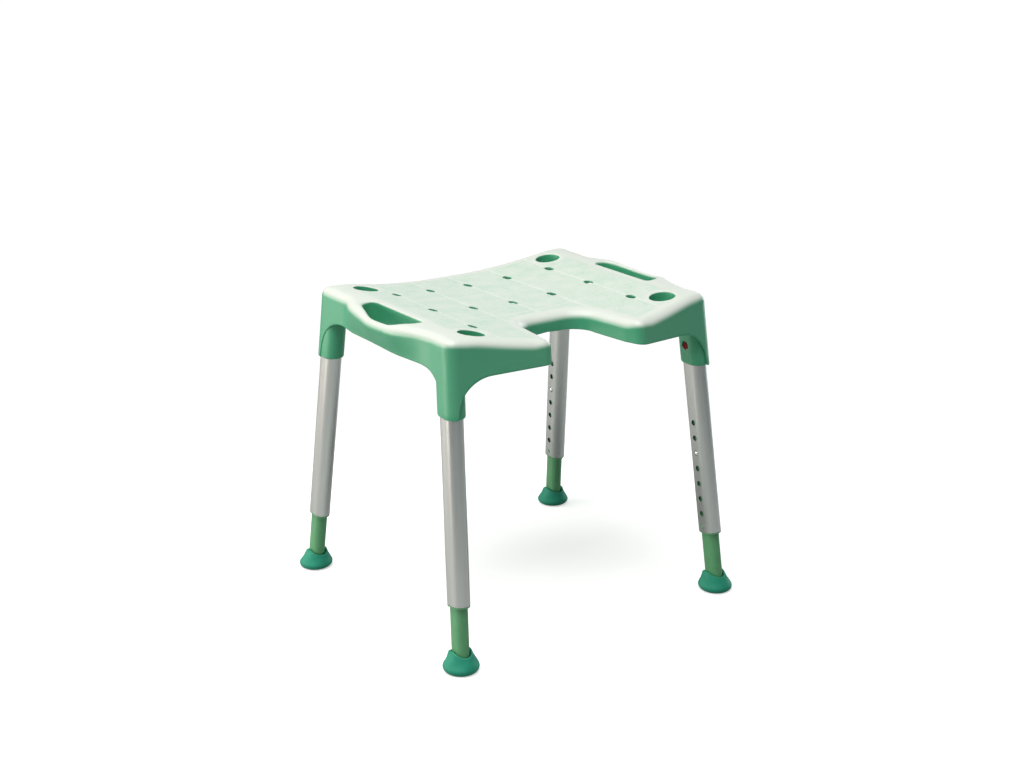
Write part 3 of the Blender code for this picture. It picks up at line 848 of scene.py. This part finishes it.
def feed_shader(tree, **values):
    """Feed a material's shader by the names of its sockets, with _ for a space."""
    shader = tree.nodes["Principled BSDF"]
    for name, value in values.items():
        feed(tree, shader.inputs[name.replace("_", " ")], value)


def new_material(name, colour, roughness, metallic=0.0, gloss=0.5):
    """A Principled material, with its tree."""
    made = bpy.data.materials.new("fine_" + name)
    made.use_nodes = True
    tree = made.node_tree
    feed_shader(tree, Base_Color=(*colour, 1.0), Roughness=roughness, Metallic=metallic)
    feed_shader(tree, Specular_IOR_Level=gloss)
    return made, tree


def node(tree, kind, links=(), **values):
    """A node with its inputs linked or set by name or number, and its other settings."""
    made = tree.nodes.new(kind)
    for name, value in values.items():
        setattr(made, name, value)
    for name, value in dict(links).items():
        feed(tree, made.inputs[name], value)
    return made


def place_of(tree, attribute=None):
    """Object coordinates, or the coordinates kept in an attribute."""
    if attribute is None:
        return node(tree, "ShaderNodeTexCoord").outputs["Object"]
    return node(tree, "ShaderNodeAttribute", attribute_name=attribute).outputs["Vector"]


def share_of(tree, attribute):
    """The share kept in an attribute."""
    return node(tree, "ShaderNodeAttribute", attribute_name=attribute).outputs["Fac"]


def noise(tree, place, scale, detail=2.0, stretch=(1, 1, 1)):
    """Noise at a scale, its pattern stretched along the axes."""
    mapped = node(tree, "ShaderNodeMapping", {"Vector": place, "Scale": stretch}).outputs[0]
    links = {"Vector": mapped, "Scale": scale, "Detail": detail}
    return node(tree, "ShaderNodeTexNoise", links).outputs["Fac"]


def spread(tree, value, low, high):
    """The middle of a noise's values brought into a range."""
    links = {"Value": value, "From Min": 0.3, "From Max": 0.7, "To Min": low, "To Max": high}
    return node(tree, "ShaderNodeMapRange", links).outputs[0]


def ramp(tree, value, low, high):
    """A smooth rise from 0 to 1 while a value goes from low to high."""
    links = {"Value": value, "From Min": low, "From Max": high}
    return node(tree, "ShaderNodeMapRange", links, interpolation_type="SMOOTHSTEP").outputs[0]


def maths(tree, operation, first, second):
    """Two values put together."""
    return node(tree, "ShaderNodeMath", {0: first, 1: second}, operation=operation).outputs[0]


def mixed(tree, share, first, second):
    """Two colours mixed by a share."""
    ends = [(*end, 1.0) if isinstance(end, tuple) else end for end in (first, second)]
    links = {0: share, 6: ends[0], 7: ends[1]}
    return node(tree, "ShaderNodeMix", links, data_type="RGBA").outputs[2]


def bump(tree, height, strength, distance):
    """A normal from a height."""
    links = {"Height": height, "Strength": strength, "Distance": distance}
    return node(tree, "ShaderNodeBump", links).outputs[0]


def seat_material(name):
    """Moulded plastic: green on the skirt, frosted on the sitting face, paler where it faces up (partly its own
    paler top, partly painted light from above), mottled in the tiles.
    """
    skirt, top = tuple(colours().skirt), tuple(colours().top)
    made, tree = new_material(name, skirt, 0.42)
    place = place_of(tree)
    normal = node(tree, "ShaderNodeNewGeometry").outputs["Normal"]
    upright = node(tree, "ShaderNodeSeparateXYZ", {"Vector": normal}).outputs["Z"]
    frosting = share_of(tree, "frosting")
    cloud = noise(tree, place, 38, 3.0)
    grain = noise(tree, place, 520, 2.0)
    fine = noise(tree, place, 1500, 1.0)
    wall_colour = mixed(tree, spread(tree, cloud, 0.0, 0.16), skirt, tuple(0.86 * c for c in skirt))
    # Faces turned up are mixed to the paler top colour by their normal: partly the frosted face's own tone, partly
    # painted light falling from above.
    colour = mixed(tree, ramp(tree, upright, 0.02, 0.78), wall_colour, top)
    speckle = maths(tree, "MULTIPLY", spread(tree, grain, 0.15, 1.0), frosting)
    speckle = maths(tree, "MULTIPLY", speckle, spread(tree, cloud, 0.35, 1.0))
    colour = mixed(tree, speckle, colour, (0.40, 0.58, 0.47))
    rough = maths(tree, "ADD", maths(tree, "MULTIPLY", frosting, 0.16), spread(tree, cloud, 0.38, 0.44))
    frosted = maths(tree, "MULTIPLY", maths(tree, "ADD", frosting, 0.06), grain)
    height = maths(tree, "ADD", frosted, maths(tree, "MULTIPLY", fine, 0.05))
    feed_shader(tree, Base_Color=colour, Roughness=rough, Normal=bump(tree, height, 0.55, 0.0006))
    return made


def tube_material(name):
    """Satin anodised aluminium, drawn along the tube: streaks in its gloss and tone, and painted shade, near
    black, on its inside and the walls of its holes.
    """
    bright = tuple(colours().tube)
    made, tree = new_material(name, bright, 0.34, 1.0)
    place = place_of(tree, "leg_place")
    streak = noise(tree, place, 420, 3.0, (1, 1, 0.012))
    broad = noise(tree, place, 90, 2.0, (1, 1, 0.03))
    colour = mixed(tree, spread(tree, broad, 0.0, 0.8), bright, tuple(0.86 * c for c in bright))
    # Painted shade: the inside of the tube and the walls of its holes near black, standing in for the shade there.
    colour = mixed(tree, share_of(tree, "tube_inside"), colour, (0.02, 0.02, 0.02))
    rough = spread(tree, streak, 0.28, 0.42)
    feed_shader(tree, Base_Color=colour, Roughness=rough, Normal=bump(tree, streak, 0.10, 0.0002))
    return made


def plastic_material(name, colour, roughness, grain_scale, grain_depth, gloss):
    """Moulded plastic or rubber: clouds in its colour and gloss, and a fine moulded grain."""
    colour = tuple(colour)
    made, tree = new_material(name, colour, roughness, gloss=gloss)
    place = place_of(tree)
    cloud = noise(tree, place, 60, 3.0)
    grain = noise(tree, place, grain_scale, 2.0)
    clouded = mixed(tree, spread(tree, cloud, 0.0, 0.55), colour, tuple(0.78 * c for c in colour))
    rough = spread(tree, grain, roughness - 0.05, roughness + 0.07)
    feed_shader(tree, Base_Color=clouded, Roughness=rough, Normal=bump(tree, grain, 0.25, grain_depth))
    return made


def steel_material(name, roughness):
    """Turned or rolled steel, with fine scratches in its gloss."""
    made, tree = new_material(name, tuple(colours().steel), roughness, 1.0)
    scratch = noise(tree, place_of(tree), 900, 2.0, (1, 1, 0.2))
    rough = spread(tree, scratch, roughness - 0.06, roughness + 0.1)
    feed_shader(tree, Roughness=rough, Normal=bump(tree, scratch, 0.12, 0.0001))
    return made


def floor_material(name):
    """White paper sweep: lit near the stool, where it takes its shadows, and plain white further off."""
    paper, shade = (0.90, 0.90, 0.89), (0.34, 0.36, 0.36)
    made, tree = new_material(name, paper, 0.9)
    path = node(tree, "ShaderNodeLightPath")
    seen = path.outputs["Is Camera Ray"]
    bright = maths(tree, "ADD", seen, maths(tree, "MULTIPLY", path.outputs["Is Glossy Ray"], 0.5))
    feed_shader(tree, Base_Color=mixed(tree, bright, shade, paper))
    strength = maths(tree, "MULTIPLY", seen, 0.56)
    glow = node(tree, "ShaderNodeEmission", {"Color": (1.0, 0.995, 0.985, 1.0), "Strength": strength})
    shader = tree.nodes["Principled BSDF"]
    lit = node(tree, "ShaderNodeAddShader", {0: shader.outputs[0], 1: glow.outputs[0]})
    far = node(tree, "ShaderNodeEmission", {"Color": (1.0, 1.0, 1.0, 1.0), "Strength": 1.05})
    reach = node(tree, "ShaderNodeVectorMath", {0: place_of(tree)}, operation="LENGTH").outputs["Value"]
    share = maths(tree, "MULTIPLY", ramp(tree, reach, 0.45, 0.95), seen)
    blend = node(tree, "ShaderNodeMixShader", {0: share, 1: lit.outputs[0], 2: far.outputs[0]})
    feed(tree, tree.nodes["Material Output"].inputs["Surface"], blend.outputs[0])
    return made


def material(name):
    """A material of the stool, made when it is first asked for."""
    colour = colours()
    maker, *settings = {
        "seat_plastic": (seat_material,),
        "leg_aluminium": (tube_material,),
        "inner_leg_plastic": (plastic_material, colour.inner_leg, 0.42, 700, 0.0002, 0.5),
        "bush_plastic": (plastic_material, colour.bush, 0.40, 700, 0.0002, 0.25),
        "foot_rubber": (plastic_material, colour.foot, 0.58, 900, 0.0003, 0.4),
        "button_red": (plastic_material, colour.button, 0.30, 1200, 0.0001, 0.08),
        "button_steel": (steel_material, 0.18),
        "spring_steel": (steel_material, 0.30),
        "floor_white": (floor_material,),
    }[name]
    return bpy.data.materials.get("fine_" + name) or maker(name, *settings)


# ---------------------------------------------------------------- leg pieces

def leg_solid(rows, height, matrix):
    """A closed surface turned round a leg's X at a height on the leg."""
    surface = Surface()
    surface.add_solid(moved(sideways(rows, height), matrix))
    return surface


def tube_mesh(matrix):
    """The tube: an oval wall with eased ends, drilled for the height holes, the nub and the lock button."""
    (low, high), edge, wall = TUBE_ENDS, TUBE_EDGE, TUBE_WALL
    rows = np.vstack([
        [(high - edge, 0.0)],
        straight(high - 0.01, low + 0.01, 0.0, 12),
        [(low + edge, 0.0), (low, edge), (low, wall - edge), (low + edge, wall)],
        [(low + 0.02, wall), (high - 0.02, wall)],
        [(high - edge, wall), (high, wall - edge), (high, edge)],
    ])
    tube, drills = Surface(), Surface()
    tube.add_ring(moved(oval_rows(TUBE_SIZE, rows), matrix))
    holes = [(height, HEIGHT_HOLE_RADIUS) for height in HOLE_HEIGHTS]
    holes += [(NUB_HEIGHT, NUB_HOLE_RADIUS), (LOCK_HEIGHT, LOCK_HOLE_RADIUS)]
    face = TUBE_SIZE[0] / 2
    for height, radius in holes:
        profile = [(0.030, radius + 0.0003), (face - 0.0002, radius + 0.0003)]
        profile += [(face - 0.0005, radius), (0.005, radius)]
        drills.add_solid(moved(sideways(turned_rows(profile, 36), height), matrix))
    made = cut(tube.mesh("tube"), drills.mesh("drills"), "tube_cut")
    local = keep_leg_place(made, matrix)
    side = (TUBE_SIZE[1] - TUBE_SIZE[0]) / 2
    reach = np.hypot(local[:, 0], np.clip(np.abs(local[:, 1]) - side, 0, None))
    # Share of painted shade inside the tube: 1 from half a millimetre in from the outer face, 0 within the outer
    # 0.2 mm.
    keep_values(made, "tube_inside", np.clip((face - 0.0002 - reach) / 0.0003, 0, 1))
    return made


def bush_mesh(matrix):
    """The guide bush: a sleeve in the tube's mouth with a lip below it, and its domed nub."""
    low, high = BUSH_ENDS
    sleeve = TUBE_WALL + GAP
    bore = (TUBE_SIZE[0] - INNER_SIZE[0]) / 2 - GAP
    rows = np.vstack([
        [(high, sleeve), (BUSH_LIP_TOP, sleeve), (BUSH_LIP_TOP, 0.0003), (BUSH_LIP_TOP - 0.0003, 0.0)],
        quarter((low + 0.0008, 0.0), (low, 0.0010), 4),
        [(low, bore - 0.0004), (low + 0.0004, bore), (high, bore)],
    ])
    face = TUBE_SIZE[0] / 2
    dome = [(face + 0.0010, 0.0005), (face + 0.0008, 0.0014), (face + 0.0002, 0.0022)]
    dome += [(face - 0.0004, 0.0025), (0.0105, 0.0025), (0.0105, 0.0005)]
    surface = Surface()
    surface.add_ring(moved(oval_rows(TUBE_SIZE, rows), matrix))
    surface.add_solid(moved(sideways(turned_rows(dome, 24), NUB_HEIGHT), matrix))
    made = surface.mesh("bush")
    keep_leg_place(made, matrix)
    return made


def inner_leg_mesh(matrix):
    """The hollow inner leg with its wider guide head, drilled for the height button."""
    (low, high), wall = INNER_ENDS, INNER_WALL
    head = -(TUBE_SIZE[0] - 2 * TUBE_WALL - 2 * GAP - INNER_SIZE[0]) / 2
    neck = high - HEAD_LENGTH
    rows = np.vstack([
        [(high, head + 0.0005), (high - 0.0005, head), (neck, head), (neck, 0.0)],
        straight(neck - 0.01, low, 0.0, 12),
        [(low, wall), (low + 0.02, wall), (high - 0.02, wall), (high, wall)],
    ])
    leg = Surface()
    leg.add_ring(moved(oval_rows(INNER_SIZE, rows), matrix))
    hole = turned_rows([(0.030, SNAP_HOLE_RADIUS), (0.002, SNAP_HOLE_RADIUS)], 36)
    drill = leg_solid(hole, SNAP_HEIGHT, matrix)
    made = cut(leg.mesh("inner"), drill.mesh("drill"), "inner_cut")
    keep_leg_place(made, matrix)
    return made


def snap_button_mesh(matrix):
    """The height button: a flange behind the wall, a shaft and a full dome."""
    rows = turned_rows(np.vstack([
        quarter((0.0003, 0.0152), (0.0040, 0.0128), 9)[:, ::-1],
        [(0.0077, 0.0040), (0.0077, 0.0052), (0.0074, 0.0055)],
        [(0.0068, 0.0055), (0.0066, 0.0052), (0.0066, 0.0003)],
    ]))
    return leg_solid(rows, SNAP_HEIGHT, matrix).mesh("snap")


def lock_button_mesh(matrix):
    """The red lock button: a flange behind the tube's wall, a shaft and a softly dished face."""
    rows = turned_rows(np.vstack([
        [(0.0157, 0.0003), (0.0159, 0.0026), (0.0163, 0.0038)],
        quarter((0.0041, 0.0163), (0.0053, 0.0150))[:, ::-1],
        [(0.0112, 0.0053), (0.0112, 0.0065), (0.0109, 0.0068)],
        [(0.0100, 0.0068), (0.0098, 0.0065), (0.0098, 0.0003)],
    ]))
    return leg_solid(rows, LOCK_HEIGHT, matrix).mesh("lock")


# The foot's flank from the sole to the rim: height, half width and half depth
FOOT_RINGS = np.array((
    (0.0000, 0.0040, 0.0040),
    (0.0000, 0.0195, 0.0195),
    (0.0006, 0.0222, 0.0222),
    (0.0022, 0.0246, 0.0246),
    (0.0048, 0.0265, 0.0265),
    (0.0075, 0.0272, 0.0272),
    (0.0098, 0.0267, 0.0268),
    (0.0125, 0.0250, 0.0255),
    (0.0165, 0.0220, 0.0238),
    (0.0205, 0.0194, 0.0224),
    (0.0245, 0.0172, 0.0211),
    (0.0272, 0.0161, 0.0203),
))


def foot_mesh(matrix):
    """The rubber foot: rings from a round sole to an oval rim, which rises on two sides in a saddle.

    The flank between the rims swells into four soft petals, by a bell over the height times a wave
    round the foot. The inside falls from the rounded rim to a pocket round the inner leg.
    """
    lean = np.array(matrix.col[2][:3]) / matrix.col[2][2]
    place = np.array(matrix.translation)
    angles = 2 * np.pi * np.arange(96) / 96
    steps, knots = np.linspace(0, 1, 44), np.linspace(0, 1, len(FOOT_RINGS))
    flank = np.stack([np.interp(steps, knots, column) for column in FOOT_RINGS.T], 1)
    for _ in range(3):
        flank[1:-1, 1:] = (flank[:-2, 1:] + 2 * flank[1:-1, 1:] + flank[2:, 1:]) / 4
    heights = flank[:, :1]
    saddle = np.clip((heights - 0.010) / 0.0172, 0, 1) ** 1.5 * 0.0030 * np.cos(2 * angles)
    petal = np.exp(-((heights - 0.0155) / 0.0050) ** 2) * 0.0009 * np.cos(4 * angles)
    outside = raised(circle(angles) * (flank[:, None, 1:] + petal[..., None]), heights + saddle)

    rim, rim_height = outside[-1, :, :2], outside[-1, :, 2]
    pocket, mouth = pocket_ring(angles, GAP), pocket_ring(angles, 0.0016)
    inside = [
        raised(rim + (mouth - rim) * 0.45, rim_height + 0.0010),
        raised(rim + (mouth - rim) * 0.92, rim_height + 0.0002),
        raised(mouth, rim_height - 0.0020),
        raised(pocket, rim_height - 0.0090),
        raised(pocket, 0.0100),
        raised(pocket * 0.3, 0.0097),
    ]
    rows = np.concatenate([outside, inside])[::-1]
    rows[..., :2] += lean[:2] * rows[..., 2:] + place[:2]
    surface = Surface()
    surface.add_solid(rows)
    return surface.mesh("foot")


def pocket_ring(angles, gap):
    """The inner leg's oval, wider by a gap, at given angles: where each ray from the middle meets it."""
    ring = flat_oval([size + 2 * gap for size in INNER_SIZE], 60)
    bearing = np.arctan2(ring[:, 1], ring[:, 0]) % (2 * np.pi)
    order = np.argsort(bearing)
    reach = np.linalg.norm(ring, axis=1)
    found = np.interp(angles, bearing[order], reach[order], period=2 * np.pi)
    return circle(angles) * found[:, None]


# ---------------------------------------------------------------- operators

class STOOL_OT_seat(bpy.types.Operator):
    """Build the moulded seat with its skirt, holes, ribs and sockets."""

    bl_idname = "stool.seat"
    bl_label = "Seat"

    def execute(self, context):
        surface = seat_plate()
        add_ribs(surface)
        socket_columns(surface)
        mesh = surface.mesh("seat_moulding")
        mark_seat(mesh, seat_outline())
        plastic = material("seat_plastic")
        finish_piece(mesh, "seat_moulding", plastic, "root", ["seat_shell"], 38)
        return {"FINISHED"}


def build_leg_pieces(kind, maker, slot, body):
    """One piece for each leg, in place of its node of the same kind, with its slot's material."""
    for leg, matrix in leg_frames().items():
        node_name = f"{leg}_{kind}"
        shape, finish = maker(matrix), material(slot)
        finish_piece(shape, node_name + "_fine", finish, body.format(leg=leg), [node_name])


class STOOL_OT_tubes(bpy.types.Operator):
    """Build the aluminium tubes with their holes."""

    bl_idname = "stool.tubes"
    bl_label = "Tubes"

    def execute(self, context):
        build_leg_pieces("leg_tube", tube_mesh, "leg_aluminium", "root")
        return {"FINISHED"}


class STOOL_OT_bushes(bpy.types.Operator):
    """Build the guide bushes in the tubes' lower ends."""

    bl_idname = "stool.bushes"
    bl_label = "Guide bushes"

    def execute(self, context):
        build_leg_pieces("guide_bush", bush_mesh, "bush_plastic", "root")
        return {"FINISHED"}


class STOOL_OT_inner_legs(bpy.types.Operator):
    """Build the sliding inner legs."""

    bl_idname = "stool.inner_legs"
    bl_label = "Inner legs"

    def execute(self, context):
        build_leg_pieces("inner_leg", inner_leg_mesh, "inner_leg_plastic", "{leg}_telescope")
        return {"FINISHED"}


class STOOL_OT_buttons(bpy.types.Operator):
    """Build the steel height buttons and the red lock buttons."""

    bl_idname = "stool.buttons"
    bl_label = "Buttons"

    def execute(self, context):
        build_leg_pieces("height_button", snap_button_mesh, "button_steel", "{leg}_snap")
        build_leg_pieces("lock_button", lock_button_mesh, "button_red", "{leg}_lock")
        return {"FINISHED"}


class STOOL_OT_springs(bpy.types.Operator):
    """Give the bent steel springs inside the legs their finish."""

    bl_idname = "stool.springs"
    bl_label = "Springs"

    def execute(self, context):
        for leg in leg_frames():
            for kind in ("height_spring", "lock_spring"):
                spring = frame["nodes"][f"{leg}_{kind}"]
                spring.data.materials.clear()
                spring.data.materials.append(material("spring_steel"))
        return {"FINISHED"}


class STOOL_OT_feet(bpy.types.Operator):
    """Build the rubber feet."""

    bl_idname = "stool.feet"
    bl_label = "Feet"

    def execute(self, context):
        build_leg_pieces("foot", foot_mesh, "foot_rubber", "{leg}_telescope")
        return {"FINISHED"}


def add_light(name, place, aim, size, power, colour):
    """A square soft light that faces a point."""
    data = bpy.data.lights.new(name, "AREA")
    data.shape = "RECTANGLE"
    data.size, data.size_y = size
    data.energy = power
    data.color = colour
    lamp = bpy.data.objects.new(name, data)
    lamp.location = place
    lamp.rotation_euler = (Vector(aim) - Vector(place)).to_track_quat("-Z", "Y").to_euler()
    bpy.context.scene.collection.objects.link(lamp)
    return lamp


def add_floor():
    """A level floor that reaches far past the view."""
    floor = Surface()
    floor.add_points(np.array([(-20, -20, 0), (20, -20, 0), (20, 20, 0), (-20, 20, 0)], float))
    floor.faces.append(np.arange(4)[None])
    ground = new_object(floor.mesh("floor"))
    ground.data.materials.append(material("floor_white"))


def add_lights():
    """Soft lights above and on both sides, and two that show only in the seat's sheen."""
    middle = (0, 0, 0.35)
    add_light("key", (-0.7, -0.10, 2.6), middle, (2.2, 2.2), 74, (1.0, 0.985, 0.95))
    add_light("left", (-2.3, 1.5, 0.50), middle, (2.2, 1.4), 42, (1.0, 0.86, 0.78))
    add_light("right", (2.4, 0.3, 0.35), middle, (1.2, 1.2), 12, (0.72, 0.94, 1.0))
    lit = bpy.data.collections.new("sheen_receivers")
    lit.objects.link(bpy.data.objects["seat_moulding"])
    for name, place, power, colour in (
        ("left_sheen", (-2.9, 1.3, 0.75), 50, (1.0, 0.74, 0.70)),
        ("right_sheen", (2.6, 1.0, 0.60), 36, (0.84, 0.90, 1.0)),
    ):
        lamp = add_light(name, place, (0, 0, 0.42), (2.0, 1.4), power, colour)
        lamp.visible_diffuse = False
        lamp.light_linking.receiver_collection = lit


def add_studio():
    """A dim room that the camera sees as white, and glossy pieces as partly white."""
    world = bpy.data.worlds.new("studio")
    world.use_nodes = True
    tree = world.node_tree
    path = node(tree, "ShaderNodeLightPath")
    seen = path.outputs["Is Camera Ray"]
    share = maths(tree, "ADD", seen, maths(tree, "MULTIPLY", path.outputs["Is Glossy Ray"], 0.3))
    strength = node(tree, "ShaderNodeMapRange", {"Value": share, "To Min": 0.20, "To Max": 1.0})
    sky = tree.nodes["Background"]
    feed(tree, sky.inputs["Color"], mixed(tree, seen, (0.90, 1.0, 1.0), (1.0, 1.0, 1.0)))
    feed(tree, sky.inputs["Strength"], strength.outputs[0])
    bpy.context.scene.world = world
    bpy.context.scene.view_settings.view_transform = "Standard"


def add_camera():
    """The camera, turned to its heading, tilted down and rolled."""
    lens = bpy.data.cameras.new("camera")
    lens.lens = CAMERA_LENS
    camera = bpy.data.objects.new("camera", lens)
    heading, tilt, roll = (math.radians(angle) for angle in CAMERA_TURNS)
    level = math.cos(tilt)
    ahead = Vector((-math.sin(heading) * level, math.cos(heading) * level, -math.sin(tilt)))
    aim = ahead.to_track_quat("-Z", "Y").to_matrix().to_4x4()
    camera.matrix_world = Matrix.Translation(CAMERA_PLACE) @ aim @ Matrix.Rotation(roll, 4, "Z")
    bpy.context.scene.collection.objects.link(camera)
    bpy.context.scene.camera = camera


class STOOL_OT_stage(bpy.types.Operator):
    """Set the pale floor, the soft studio lights and the camera."""

    bl_idname = "stool.stage"
    bl_label = "Stage"

    def execute(self, context):
        add_floor()
        add_lights()
        add_studio()
        add_camera()
        return {"FINISHED"}


class STOOL_PT_parts(bpy.types.Panel):
    """The stool's parts, in the sidebar."""

    bl_label = "Shower Stool"
    bl_idname = "STOOL_PT_parts"
    bl_space_type = "VIEW_3D"
    bl_region_type = "UI"
    bl_category = "Stool"

    def draw(self, context):
        for group in (context.scene.stool_sizes, context.scene.stool_finish):
            for name in group.bl_rna.properties.keys():
                if name not in ("rna_type", "name"):
                    self.layout.prop(group, name)
        for operator in OPERATORS:
            self.layout.operator(operator.bl_idname)


OPERATORS = (
    STOOL_OT_seat, STOOL_OT_tubes, STOOL_OT_bushes, STOOL_OT_inner_legs, STOOL_OT_buttons,
    STOOL_OT_springs, STOOL_OT_feet, STOOL_OT_stage,
)
CLASSES = (StoolSizes, StoolFinish, *OPERATORS, STOOL_PT_parts)


def register():
    """Register the classes and hang the settings on the scene."""
    for item in CLASSES:
        bpy.utils.register_class(item)
    bpy.types.Scene.stool_sizes = bpy.props.PointerProperty(type=StoolSizes)
    bpy.types.Scene.stool_finish = bpy.props.PointerProperty(type=StoolFinish)


def unregister():
    """Undo register."""
    del bpy.types.Scene.stool_finish
    del bpy.types.Scene.stool_sizes
    for item in reversed(CLASSES):
        bpy.utils.unregister_class(item)


def main():
    """Build every piece and the stage."""
    register()
    bpy.ops.stool.seat()
    bpy.ops.stool.tubes()
    bpy.ops.stool.bushes()
    bpy.ops.stool.inner_legs()
    bpy.ops.stool.buttons()
    bpy.ops.stool.springs()
    bpy.ops.stool.feet()
    bpy.ops.stool.stage()


if __name__ == "__main__":
    main()
